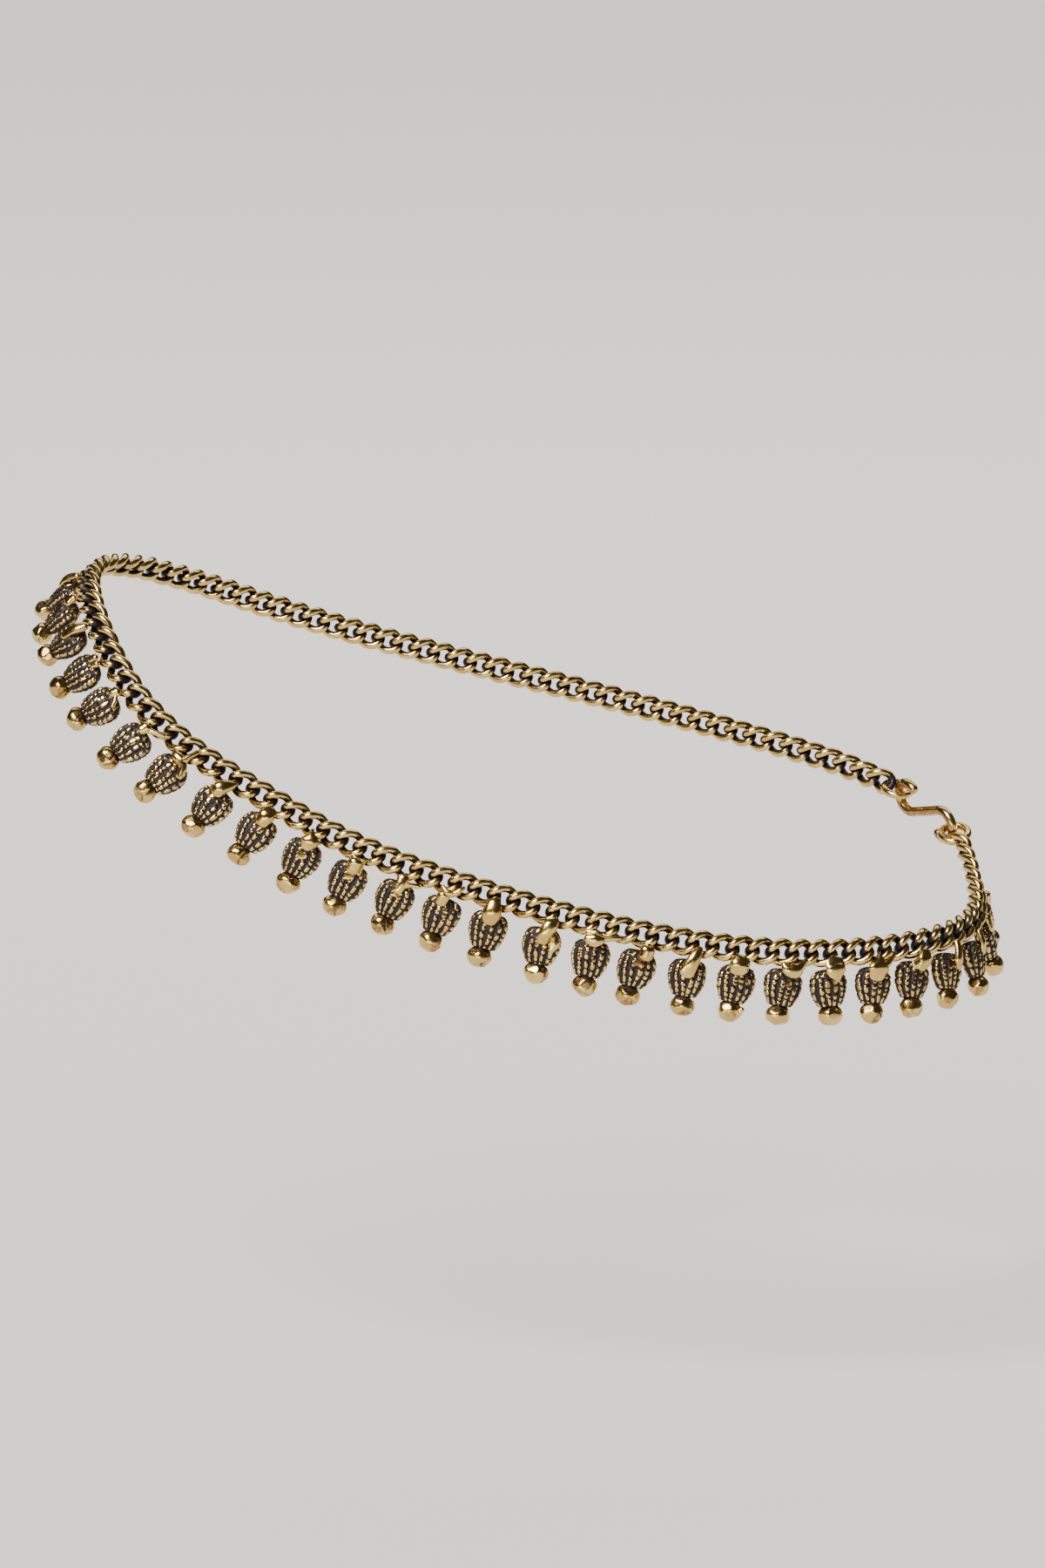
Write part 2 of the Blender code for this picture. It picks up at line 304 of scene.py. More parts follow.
def shell_volume(shell):
    """Cubic millimetres inside a shell: a sixth of the sum of its faces' corner triple products."""
    points, quads, triangles, _ = shell
    corners = np.vstack([quads[:, [0, 1, 2]], quads[:, [0, 2, 3]], triangles])
    a, b, c = (points[corners[:, k]] for k in range(3))
    return float(np.einsum("ij,ij->i", a, np.cross(b, c)).sum() / 6 / MM ** 3)


# %% One mesh piece from a shell
def put_piece(name, shell, material, slot, *nodes):
    """Fills a new mesh with foreach_set, keeps its wear and painted shade, and stands it in for its CAD
    nodes.
    """
    points, quads, triangles, wear_and_shade = shell
    corners = np.concatenate([quads.ravel(), triangles.ravel()])
    starts = np.concatenate([np.arange(len(quads)) * 4, len(quads) * 4 + np.arange(len(triangles)) * 3])
    mesh = bpy.data.meshes.new(name)
    mesh.vertices.add(len(points))
    mesh.vertices.foreach_set("co", points.astype(np.float32).ravel())
    mesh.loops.add(len(corners))
    mesh.loops.foreach_set("vertex_index", corners.astype(np.int32))
    mesh.polygons.add(len(starts))
    mesh.polygons.foreach_set("loop_start", starts.astype(np.int32))
    mesh.update(calc_edges=True)
    mesh.polygons.foreach_set("use_smooth", np.ones(len(starts), dtype=bool))
    layer = mesh.attributes.new("wear_and_shade", "FLOAT", "POINT")
    layer.data.foreach_set("value", np.clip(wear_and_shade, 0, 1).astype(np.float32))
    mesh.materials.append(material)
    piece = add_object(name, mesh)
    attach(piece, "root")
    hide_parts(*nodes)
    return piece


# %% [markdown]
# ## Antique gold
#
# The drops and the chain have one finish. A dark oxide fills every hollow, and the places that the
# polishing cloth reached are bare gold with a soft shine. A quick way would be a texture of ambient
# occlusion, but that changes with the light. Here each shape's own formula stores how far a point was
# rubbed, as an attribute, and the material reads it. On the links the same attribute also holds painted
# shade, dark like the oxide, at their ends and where two wires touch. Both finishes share the same two
# node groups: "patina" turns the attribute into colours, and "cast_skin" gives the tiny pits and
# scratches of metal.


# %% Helpers for shader nodes
def add_node(tree, kind, settings=None, **values):
    """A new node, with settings as its properties and values for its named inputs."""
    node = tree.nodes.new(kind)
    for key, setting in (settings or {}).items():
        setattr(node, key, setting)
    for label, value in values.items():
        node.inputs[label.replace("_", " ")].default_value = value
    return node


def new_group(name, inputs, outputs):
    """A shader node group with its named sockets, and its inner input and output nodes."""
    group = bpy.data.node_groups.new(name, "ShaderNodeTree")
    for label, kind, value in inputs:
        socket = group.interface.new_socket(label, in_out="INPUT", socket_type=kind)
        socket.default_value = value
    for label, kind in outputs:
        group.interface.new_socket(label, in_out="OUTPUT", socket_type=kind)
    return group, group.nodes.new("NodeGroupInput"), group.nodes.new("NodeGroupOutput")


FLOAT = "NodeSocketFloat"
COLOR = "NodeSocketColor"


# %% The patina group
OXIDE_STEP = (-0.16, 0.06)
COPPER_STEP = (0.0, 0.3)
CLOUD_STEP = (0.38, 0.62)
CLOUD_SCALE = 420.0


def wear_and_shade_step(group, wear_and_shade_value, reach, limits):
    """A smooth step of the value of wear and painted shade, between the oxide's reach plus each of two
    limits.
    """
    step = add_node(group, "ShaderNodeMapRange", {"interpolation_type": "SMOOTHSTEP"})
    group.links.new(wear_and_shade_value, step.inputs["Value"])
    for limit, label in zip(limits, ("From Min", "From Max")):
        edge = add_node(group, "ShaderNodeMath", {"operation": "ADD"})
        edge.inputs[1].default_value = limit
        group.links.new(reach, edge.inputs[0])
        group.links.new(edge.outputs[0], step.inputs[label])
    return step.outputs["Result"]


def mixed_color(group, factor, first, second):
    """A mix of two colours by a factor."""
    mix = add_node(group, "ShaderNodeMix", {"data_type": "RGBA"})
    group.links.new(factor, mix.inputs["Factor"])
    group.links.new(first, mix.inputs["A"])
    group.links.new(second, mix.inputs["B"])
    return mix.outputs["Result"]


def build_patina():
    """The value of wear and painted shade is moved up and down by noise, and two smooth steps read it.

    The noise lies round a half, which is taken off first. The first step goes from oxide to the thin
    copper brown at its edge, and gives the mask. The second goes on from copper to gold. The gold itself
    is a mix of two golds in soft clouds.
    """
    group, inside, outside = new_group(
        "patina",
        [("Wear And Shade", FLOAT, 1.0), ("Unevenness", FLOAT, 0.3), ("Spot Scale", FLOAT, 3000.0),
         ("Oxide Reach", FLOAT, 0.5), ("Gold", COLOR, (0.7, 0.5, 0.25, 1)),
         ("Warm Gold", COLOR, (0.6, 0.35, 0.15, 1)), ("Copper", COLOR, (0.3, 0.12, 0.05, 1)),
         ("Oxide", COLOR, (0.03, 0.02, 0.02, 1))],
        [("Color", COLOR), ("Mask", FLOAT)])
    places = add_node(group, "ShaderNodeTexCoord")
    spots = add_node(group, "ShaderNodeTexNoise", Detail=3.0, Roughness=0.6)
    centred = add_node(group, "ShaderNodeMath", {"operation": "SUBTRACT"})
    centred.inputs[1].default_value = 0.5
    wear_and_shade_value = add_node(group, "ShaderNodeMath", {"operation": "MULTIPLY_ADD"})
    clouds = add_node(group, "ShaderNodeTexNoise", Scale=CLOUD_SCALE, Detail=2.0)
    cloud_step = add_node(group, "ShaderNodeMapRange", From_Min=CLOUD_STEP[0], From_Max=CLOUD_STEP[1])
    wire = group.links.new
    wire(places.outputs["Object"], spots.inputs["Vector"])
    wire(inside.outputs["Spot Scale"], spots.inputs["Scale"])
    wire(spots.outputs["Fac"], centred.inputs[0])
    wire(centred.outputs[0], wear_and_shade_value.inputs[0])
    wire(inside.outputs["Unevenness"], wear_and_shade_value.inputs[1])
    wire(inside.outputs["Wear And Shade"], wear_and_shade_value.inputs[2])
    wire(places.outputs["Object"], clouds.inputs["Vector"])
    wire(clouds.outputs["Fac"], cloud_step.inputs["Value"])
    reach = inside.outputs["Oxide Reach"]
    bare = wear_and_shade_step(group, wear_and_shade_value.outputs[0], reach, OXIDE_STEP)
    bright = wear_and_shade_step(group, wear_and_shade_value.outputs[0], reach, COPPER_STEP)
    cloudy = cloud_step.outputs["Result"]
    golds = mixed_color(group, cloudy, inside.outputs["Gold"], inside.outputs["Warm Gold"])
    metal = mixed_color(group, bright, inside.outputs["Copper"], golds)
    wire(mixed_color(group, bare, inside.outputs["Oxide"], metal), outside.inputs["Color"])
    wire(bare, outside.inputs["Mask"])
    return group


patina = build_patina()
print("patina group:", len(patina.nodes), "nodes")


# %% The skin of cast and drawn metal
def build_cast_skin():
    """Height is fine noise with a wider, weaker wave under it. Haze is a cloudy value round a half."""
    group, inside, outside = new_group(
        "cast_skin",
        [("Pit Scale", FLOAT, 6000.0), ("Wave Scale", FLOAT, 1500.0), ("Wave Share", FLOAT, 0.5)],
        [("Height", FLOAT), ("Haze", FLOAT)])
    places = add_node(group, "ShaderNodeTexCoord")
    pits = add_node(group, "ShaderNodeTexNoise", Detail=4.0, Roughness=0.65)
    waves = add_node(group, "ShaderNodeTexNoise", Detail=2.0)
    height = add_node(group, "ShaderNodeMix", {"data_type": "FLOAT"})
    wire = group.links.new
    wire(places.outputs["Object"], pits.inputs["Vector"])
    wire(places.outputs["Object"], waves.inputs["Vector"])
    wire(inside.outputs["Pit Scale"], pits.inputs["Scale"])
    wire(inside.outputs["Wave Scale"], waves.inputs["Scale"])
    wire(inside.outputs["Wave Share"], height.inputs["Factor"])
    wire(pits.outputs["Fac"], height.inputs["A"])
    wire(waves.outputs["Fac"], height.inputs["B"])
    wire(height.outputs["Result"], outside.inputs["Height"])
    wire(waves.outputs["Fac"], outside.inputs["Haze"])
    return group


cast_skin = build_cast_skin()
print("cast_skin group:", len(cast_skin.nodes), "nodes")


# %% One antique finish from both groups
# Between these two values of the haze, the gold's roughness goes from one share of itself to the other.
HAZE_STEP = (0.3, 0.7)
HAZE_SHARES = (0.75, 1.3)
BUMP_HEIGHT = 0.05 * MM


def antique_metal(name, patina_values, skin_values, bump, rough_gold, rough_oxide, oxide_metallic):
    """The patina's colour, with roughness and metallic that follow its mask, over the skin's bump."""
    material = bpy.data.materials.new(name)
    material.use_nodes = True
    tree = material.node_tree
    shader = tree.nodes["Principled BSDF"]
    attribute = add_node(tree, "ShaderNodeAttribute", {"attribute_name": "wear_and_shade"})
    coat = add_node(tree, "ShaderNodeGroup", {"node_tree": patina})
    for label, value in patina_values.items():
        coat.inputs[label].default_value = value
    skin = add_node(tree, "ShaderNodeGroup", {"node_tree": cast_skin})
    for label, value in skin_values.items():
        skin.inputs[label].default_value = value
    haze = add_node(tree, "ShaderNodeMapRange", From_Min=HAZE_STEP[0], From_Max=HAZE_STEP[1],
                    To_Min=rough_gold * HAZE_SHARES[0], To_Max=rough_gold * HAZE_SHARES[1])
    rough = add_node(tree, "ShaderNodeMix", {"data_type": "FLOAT"}, A=rough_oxide)
    metallic = add_node(tree, "ShaderNodeMapRange", To_Min=oxide_metallic, To_Max=1.0)
    bumps = add_node(tree, "ShaderNodeBump", Strength=bump, Distance=BUMP_HEIGHT)
    wire = tree.links.new
    wire(attribute.outputs["Fac"], coat.inputs["Wear And Shade"])
    wire(coat.outputs["Color"], shader.inputs["Base Color"])
    wire(skin.outputs["Haze"], haze.inputs["Value"])
    wire(coat.outputs["Mask"], rough.inputs["Factor"])
    wire(haze.outputs["Result"], rough.inputs["B"])
    wire(rough.outputs["Result"], shader.inputs["Roughness"])
    wire(coat.outputs["Mask"], metallic.inputs["Value"])
    wire(metallic.outputs["Result"], shader.inputs["Metallic"])
    wire(skin.outputs["Height"], bumps.inputs["Height"])
    wire(bumps.outputs["Normal"], shader.inputs["Normal"])
    return material


# %% The two finishes
TONES = {
    "Gold": (0.70, 0.51, 0.17, 1),
    "Warm Gold": (0.58, 0.38, 0.115, 1),
    "Copper": (0.26, 0.12, 0.04, 1),
    "Oxide": (0.010, 0.007, 0.008, 1),
}

drawn_gold = antique_metal(
    "antique_gold_wire",
    {"Unevenness": 0.35, "Spot Scale": 2200.0, "Oxide Reach": 0.42, **TONES},
    {"Pit Scale": 5000.0, "Wave Scale": 1200.0, "Wave Share": 0.5},
    bump=0.25, rough_gold=0.2, rough_oxide=0.45, oxide_metallic=0.5)
cast_gold = antique_metal(
    "antique_gold_casting",
    {"Unevenness": 0.5, "Spot Scale": 3200.0, "Oxide Reach": 0.45, **TONES},
    {"Pit Scale": 6500.0, "Wave Scale": 1700.0, "Wave Share": 0.65},
    bump=0.55, rough_gold=0.18, rough_oxide=0.5, oxide_metallic=0.4)
print("finishes:", drawn_gold.name, "and", cast_gold.name)

# %% [markdown]
# ## Curb links
#
# A curb link starts as an oval of round wire. It is then twisted until it lies flat beside its
# neighbours, so that each end passes through the next link. A Bezier curve with a bevel could be bent
# like that. Here the oval's two halves are turned against each other by an angle that follows the
# cosine of the turn, and a circle is carried along that line.

# %% Sizes of a link
WIRE = 0.86 * MM
PITCH = 2.2 * MM
CHAIN_HEIGHT = 3.1 * MM
LINK_TWIST = math.radians(54)
LINK_STEPS = 44
WIRE_SIDES = 16

# Two neighbours reach past each other by this share of the wire, so that their wires just meet.
NEIGHBOUR_REACH = 0.99
LINK_LENGTH = PITCH + NEIGHBOUR_REACH * WIRE
LINK_WIDTH = CHAIN_HEIGHT - WIRE
print("one link in mm:", round((LINK_LENGTH + WIRE) / MM, 2), "by", round(CHAIN_HEIGHT / MM, 2))


# %% A wire carried along a closed line
def closed_wire(line, radius, sides):
    """Rings of a round wire round a closed line that stays in view of its own middle.

    At each point the first side direction is the one away from the middle, made square to the line, and
    the second is square to both. A ring is the point plus the radius times the cosine and sine of these.
    """
    along = unit(np.roll(line, -1, axis=0) - np.roll(line, 1, axis=0))
    middle = line.mean(axis=0)
    away = line - middle
    away = unit(away - np.einsum("ij,ij->i", away, along)[:, None] * along)
    side = np.cross(away, along)
    turn = np.linspace(0, 2 * math.pi, sides, endpoint=False)[None, :, None]
    return line[:, None] + radius * (np.cos(turn) * away[:, None] + np.sin(turn) * side[:, None])


def link_line():
    """Wire centre of a link: an oval whose rise is turned about its length by the twist times the cosine."""
    turn = np.linspace(0, 2 * math.pi, LINK_STEPS, endpoint=False)
    rise = LINK_WIDTH / 2 * np.sin(turn)
    twist = LINK_TWIST * np.cos(turn)
    return np.stack([LINK_LENGTH / 2 * np.cos(turn), rise * np.sin(twist), rise * np.cos(twist)], axis=-1)


# %% Where a link is rubbed, and where shade is painted on it
# The rope that a cloth feels is an ellipse. Its front counts for this share of its top and bottom.
FRONT_SHARE = 0.86

# The first smooth step grows from BARE_FROM over BARE_SPAN of the reach. The second is painted shade
# where two wires touch: it starts at TOUCHING_SHINE there, and grows by one for each SHADED_GAP
# between them.
BARE_FROM = 0.5
BARE_SPAN = 0.36
TOUCHING_SHINE = 0.35
SHADED_GAP = 0.3 * MM


def softened(value):
    """Smooth step from 0 to 1."""
    value = np.clip(value, 0, 1)
    return value * value * (3 - 2 * value)


def link_wear_and_shade(rings, line):
    """Value of wear and painted shade at each place on a link.

    A polishing cloth slides over the chain as over a rope, and presses on its upper and lower limbs. The
    reach is the distance from the rope's middle, where the top and bottom edges are at 1 and the front and
    back at less. The value steps from 0 to 1 as the reach grows, so the ends of a link, where it passes
    through its neighbours, stay dark: oxide that the cloth missed, and painted shade as well. It also falls
    where the wire of a neighbour is near, by the distance to that wire: painted shade where the wires touch.
    """
    half_thickness = np.abs(rings[..., 1]).max()
    half_height = np.abs(rings[..., 2]).max()
    reach = np.hypot(FRONT_SHARE * rings[..., 1] / half_thickness, rings[..., 2] / half_height)
    shift = np.array([PITCH, 0, 0])
    neighbours = np.vstack([line - shift, line + shift])
    gap = np.linalg.norm(rings[:, :, None] - neighbours, axis=-1).min(axis=-1) - WIRE / 2
    # Oxide and painted shade where the reach is small, and painted shade near a neighbour's wire.
    return softened((reach - BARE_FROM) / BARE_SPAN) * softened(TOUCHING_SHINE + gap / SHADED_GAP)


one_line = link_line()
one_link_rings = closed_wire(one_line, WIRE / 2, WIRE_SIDES)
one_link_wear_and_shade = link_wear_and_shade(one_link_rings, one_line)
one_link = ring_shell(one_link_rings, one_link_wear_and_shade, looped=True)
print("volume of one link in cubic mm:", round(shell_volume(one_link), 3))


# %% Links set along the route
def turned(axes, angle, first, second):
    """Axes turned by an angle each, from their first named column towards the second."""
    cosine = np.cos(angle)[:, None]
    sine = np.sin(angle)[:, None]
    result = axes.copy()
    result[:, :, first] = axes[:, :, first] * cosine + axes[:, :, second] * sine
    result[:, :, second] = axes[:, :, second] * cosine - axes[:, :, first] * sine
    return result


# Spread of a link's turn about the chain and of its tilt along it, in degrees, and of its value of wear
# and painted shade.
ROLL_SPREAD = 1.6
TILT_SPREAD = 1.2
SHINE_SPREAD = 0.05


def linked(distance, seed):
    """One shell of links at the given distances, each a little off true, as in any hand-closed chain."""
    chance = np.random.default_rng(seed)
    axes, places = route_frames(distance)
    axes = turned(axes, np.radians(chance.normal(0, ROLL_SPREAD, len(distance))), 1, 2)
    axes = turned(axes, np.radians(chance.normal(0, TILT_SPREAD, len(distance))), 0, 2)
    wear_and_shade_value = one_link[3][None] + chance.normal(0, SHINE_SPREAD, (len(distance), 1))
    return repeat_shell(one_link, placed(one_link[0], axes, places), wear_and_shade_value)


# %% [markdown]
# ## The front chain and its jump ring
#
# Seventy links carry the drops, and the last one takes a plain jump ring. Their number and their first
# place come from the CAD source.

# %% Front chain
FRONT_LINKS = 70
ROUTE_START = -2.9 * MM
RING_RADIUS = 1.5 * MM

# The CAD links have thinner wire that bites into its neighbours, and these two set the rings' places.
SOLID_WIRE = 0.78 * MM
LINK_BITE = 0.2

bitten_wire = (1 - LINK_BITE) * SOLID_WIRE
chain_end = ROUTE_START + (FRONT_LINKS - 1) * PITCH + (PITCH + bitten_wire) / 2
FIRST_RING = chain_end + RING_RADIUS - bitten_wire

# The ring's value at its lower side, and what it gains up to its upper side, so it is darker below.
RING_SHINE = 0.55
RING_SHINE_GAIN = 0.3


def jump_ring(distance):
    """A closed ring of the chain's wire, which lies across the links, level with the chain."""
    turn = np.linspace(0, 2 * math.pi, LINK_STEPS, endpoint=False)
    circle = RING_RADIUS * np.stack([np.cos(turn), np.sin(turn), 0 * turn], axis=-1)
    rings = closed_wire(circle, WIRE / 2, WIRE_SIDES)
    axes, places = route_frames(np.array([distance]))
    shine = RING_SHINE + (rings[..., 2] / WIRE + 0.5) * RING_SHINE_GAIN
    shell = ring_shell(rings, shine, looped=True)
    return (placed(shell[0], axes, places)[0],) + shell[1:]


front_distance = ROUTE_START + PITCH * np.arange(FRONT_LINKS)
front_chain = join_shells([linked(front_distance, seed=3), jump_ring(FIRST_RING)])
put_piece("front_chain", front_chain, drawn_gold, "chain_gold", "curb_chain")
print("front links:", FRONT_LINKS, "quads:", len(front_chain[1]))

# %% [markdown]
# ## The clasp and the far side of the chain
#
# The clasp doesn't show in the picture, so it is the plainest kind that fits a curb chain: an S hook
# of thicker wire that holds one jump ring at each side. The same links then run on round the far side,
# back to the first one. Their pitch differs from the front's by about a hundredth of a millimetre, so
# that a whole number of them closes the loop.

# %% Places of the clasp and the far links
CLASP_WIRE = 1.1 * MM
CLASP_EYE = 1.7 * MM
CLASP_REACH = 3.2 * MM
CLASP_CLOSING = math.radians(255)
RING_GAP = 0.15 * MM

eye_in_ring = (CLASP_WIRE + SOLID_WIRE) / 2 + RING_GAP
SECOND_RING = FIRST_RING + 2 * (CLASP_REACH + CLASP_EYE - eye_in_ring + RING_RADIUS)
far_first = SECOND_RING + RING_RADIUS - bitten_wire + LINK_LENGTH / 2
far_span = ROUTE_START + LOOP_LENGTH - far_first
far_links = round(far_span / PITCH)
far_distance = far_first + far_span / far_links * np.arange(far_links)
far_chain = join_shells([linked(far_distance, seed=4), jump_ring(SECOND_RING)])
put_piece("far_chain", far_chain, drawn_gold, "chain_gold", "back_chain")
print("far links:", far_links, "their pitch in mm:", round(far_span / far_links / MM, 3))


# %% A strand: a round section carried along an open line
# The least square of an end ring's share, so that no ring shrinks to a point.
END_FLOOR = 0.0004


def eased_radius(distance, length, start_radius, end_radius):
    """Share of the full radius along a strand whose two ends are half balls.

    Near an end the share is the height of a unit circle at the distance from that end over the radius.
    """
    start = np.clip(1 - distance / start_radius, 0, 1)
    end = np.clip(1 - (length - distance) / end_radius, 0, 1)
    return np.sqrt(np.clip(1 - start ** 2, END_FLOOR, 1) * np.clip(1 - end ** 2, END_FLOOR, 1))


def strand_rings(line, across, deep, sides):
    """Rings along an open line: one half-axis lies in the local XZ plane, and the other points near Y.

    The first is square to the line and to Y, and the second is square to the line and to the first. A
    ring is the point plus both, times their widths and the cosine and sine of the turn.
    """
    along = unit(np.gradient(line, axis=0))
    flat = unit(np.cross(along, (0, 1, 0)))
    front = np.cross(flat, along)
    turn = np.linspace(0, 2 * math.pi, sides, endpoint=False)[None, :, None]
    wide = across[:, None, None] * np.cos(turn) * flat[:, None]
    thick = deep[:, None, None] * np.sin(turn) * front[:, None]
    return line[:, None] + wide + thick


# %% S hook
HOOK_STEPS = 49
SHANK_STEPS = 14
HOOK_SIDES = 18

# Samples at these shares of the wire's radius from each end take the place of the first few there.
END_SHARES = np.array([0.04, 0.16, 0.36, 0.64])
REPLACED_SAMPLES = 3

# The rubbed value at the hook's sides, and what its front gains and its back loses.
HOOK_SHINE = 0.78
HOOK_SHINE_GAIN = 0.3


def hook_line():
    """One eye and half the shank, then the same points turned half round: a full S.

    The eye is an arc of 255 degrees, and the shank leaves it along the tangent that meets the middle.
    """
    slant = math.acos(CLASP_EYE / CLASP_REACH)
    turn = slant + CLASP_CLOSING * (1 - np.linspace(0, 1, HOOK_STEPS))
    eye = np.stack([-CLASP_REACH + CLASP_EYE * np.cos(turn), 0 * turn, CLASP_EYE * np.sin(turn)], axis=-1)
    shank = np.linspace(eye[-1], -eye[-1], SHANK_STEPS)[1:-1]
    return np.vstack([eye, shank, -eye[::-1]])


hook = hook_line()
hook_distance = distances_along(hook)
end_steps = END_SHARES * CLASP_WIRE / 2
kept_samples = hook_distance[REPLACED_SAMPLES:-REPLACED_SAMPLES]
last_sample = hook_distance[-1]
hook_samples = np.sort(np.concatenate([[0], end_steps, kept_samples, last_sample - end_steps, [last_sample]]))
hook = np.stack([np.interp(hook_samples, hook_distance, column) for column in hook.T], axis=-1)
hook_share = eased_radius(hook_samples, hook_samples[-1], CLASP_WIRE / 2, CLASP_WIRE / 2)
hook_radius = CLASP_WIRE / 2 * hook_share
hook_rings = strand_rings(hook, hook_radius, hook_radius, HOOK_SIDES)
hook_shine = HOOK_SHINE - HOOK_SHINE_GAIN * (hook_rings[..., 1] / CLASP_WIRE * 2)
hook_shell = ring_shell(hook_rings, hook_shine)

ring_places = route_rows([FIRST_RING, SECOND_RING])[:, :3]
hook_lean = np.radians(route_rows([(FIRST_RING + SECOND_RING) / 2])[:, 3])
hook_axes = skin_axes(unit(ring_places[1:] - ring_places[:1]), hook_lean)
hook_points = placed(hook_shell[0], hook_axes, ring_places.mean(axis=0, keepdims=True))[0]
put_piece("s_hook", (hook_points,) + hook_shell[1:], drawn_gold, "chain_gold", "clasp")
print("S hook volume in cubic mm:", round(shell_volume(hook_shell), 2))

# %% [markdown]
# ## The granulated body of a drop
#
# Each drop is a small flattened barrel with rough columns of granules round it, like an ear of corn. A
# jeweller would solder on hundreds of tiny balls, and a maker of cheap ones casts them in one piece, with
# some balls run together, pits at the shoulders and a worn smooth spot on the face. Real balls would need
# millions of faces, so here one grid follows the barrel, and a formula lifts it where the granules are.
# The same lift says what the cloth rubbed bright.

# %% Sizes of a drop
CAP_HEIGHT = 0.05 * MM
BODY_WIDTH = 4.5 * MM
BODY_DEPTH = 2.4 * MM
BODY_HEIGHT = 4.2 * MM
BEAD_WIDTH = 2.8 * MM
BEAD_DEPTH = 2.4 * MM
BEAD_HEIGHT = 2.45 * MM
BODY_ROUND = 140
BODY_DOWN = 78
COLUMNS = 12
RELIEF = 0.29 * MM


# %% Even steps round an ellipse
FINE_TURNS = 2000


def ellipse_turns(wide, deep, count):
    """Turns that step evenly along an ellipse's own edge, from its front point at -Y."""
    fine = np.linspace(0, 2 * math.pi, FINE_TURNS)
    steps = np.hypot(wide * np.cos(fine), deep * np.sin(fine))
    length = np.concatenate([[0], np.cumsum((steps[1:] + steps[:-1]) / 2)])
    shares = np.linspace(0, 1, count, endpoint=False)
    return np.interp(shares * length[-1], length, fine) - math.pi / 2


body_turns = ellipse_turns(BODY_WIDTH, BODY_DEPTH, BODY_ROUND)
print("places round a body:", len(body_turns))

# %% The barrel's outline
WIDEST = 0.42
TOP_LOSS = 0.46
TOP_POWER = 2.6
BOTTOM_LOSS = 0.44
BOTTOM_POWER = 1.9

# Both ends close over this share of the height, with rings at these shares of it. The least square of an
# end ring's width keeps it from shrinking to a point.
CLOSING = 0.05
CLOSING_RINGS = np.array([0, 0.004, 0.015, 0.03])
POLE_FLOOR = 0.0001


def barrel_share(down):
    """Share of the full width at each share of the height.

    From the widest place it falls by one power of the distance upwards and by another downwards, which
    gives full shoulders and a slim lower end. A quarter circle closes the last few hundredths of both.
    """
    above = TOP_LOSS * np.clip((WIDEST - down) / WIDEST, 0, 1) ** TOP_POWER
    below = BOTTOM_LOSS * np.clip((down - WIDEST) / (1 - WIDEST), 0, 1) ** BOTTOM_POWER
    closing = np.clip(np.minimum(down, 1 - down) / CLOSING, 0, 1)
    return (1 - above - below) * np.sqrt(np.clip(1 - (1 - closing) ** 2, POLE_FLOOR, 1))


between_ends = np.linspace(CLOSING, 1 - CLOSING, BODY_DOWN)
body_down = np.concatenate([CLOSING_RINGS, between_ends, 1 - CLOSING_RINGS[::-1]])
print("rings down a body:", len(body_down))

# %% Columns of granules
SHORT_GRANULE = 0.42 * MM
LONG_GRANULE = 1.05 * MM
COLUMN_WAVER = 0.2
WAVER_LENGTH = 0.7 * MM

# Least and most of what chance sets: the square of a border's dip, a granule's width as a share of its
# column, and its own lift.
DIP_SQUARES = (0.15, 1.0)
GRANULE_WIDTHS = (0.64, 0.86)
GRANULE_LIFTS = (0.8, 1.0)

# How blunt a granule's ends are, and what a full dip takes off its width there.
END_POWER = 2.6
END_NARROWING = 0.35


def granule_columns(chance):
    """Lift of the granules at each grid place, from 0 in a groove to 1 on the middle of a granule.

    Columns run down the barrel and waver a little. The granules of a column follow each other at chance
    lengths, and their row starts half a chance length above the barrel. Across a column the lift is a
    half circle, narrower than the column, which leaves a groove at both sides. At each border the lift
    dips by a chance depth, so some granules stay round and others run together.
    """
    most = math.ceil(BODY_HEIGHT / SHORT_GRANULE) + 2
    around = np.arange(BODY_ROUND) / BODY_ROUND * COLUMNS
    column = np.floor(around).astype(int)
    down = body_down[:, None] * BODY_HEIGHT
    lengths = chance.uniform(SHORT_GRANULE, LONG_GRANULE, (COLUMNS, most))
    borders = np.cumsum(lengths, axis=1) - 1.5 * lengths[:, :1]
    number = (down[..., None] >= borders[column]).sum(axis=-1) - 1
    upper = borders[column, number]
    along = (down - upper) / (borders[column, number + 1] - upper)
    dips = chance.uniform(*DIP_SQUARES, (COLUMNS, most)) ** 0.5
    dip = np.where(along < 0.5, dips[column, number], dips[column, number + 1])
    edge = np.abs(2 * along - 1)
    notch = 1 - dip * (1 - np.sqrt(np.clip(1 - edge ** END_POWER, 0, 1)))
    widths = chance.uniform(*GRANULE_WIDTHS, (COLUMNS, most))
    half_width = widths[column, number] * (1 - END_NARROWING * dip * edge ** 3)
    waver = COLUMN_WAVER * np.sin(down / WAVER_LENGTH + chance.uniform(0, 2 * math.pi, COLUMNS)[column])
    across = (2 * (around - column) - 1 + waver) / half_width
    lifts = chance.uniform(*GRANULE_LIFTS, (COLUMNS, most))
    return np.sqrt(np.clip(1 - across ** 2, 0, 1)) * notch * lifts[column, number]


# The slow field's waves: how often each goes up and down round the barrel, and its radians from the
# barrel's top to its bottom.
FIELD_WAVES = ((1, 2.0), (2, 5.0), (3, 8.0), (5, 11.0))


def slow_field(chance):
    """A soft pattern round 0.5 over the grid: four waves that close round the barrel, at chance phases."""
    turn = 2 * math.pi * np.arange(BODY_ROUND)[None, :] / BODY_ROUND
    field = 0.5
    for rounds, rises in FIELD_WAVES:
        start, lift = chance.uniform(0, 2 * math.pi, 2)
        wave = np.sin(rounds * turn + start) * np.cos(rises * body_down[:, None] + lift)
        field = field + wave / len(FIELD_WAVES)
    return field


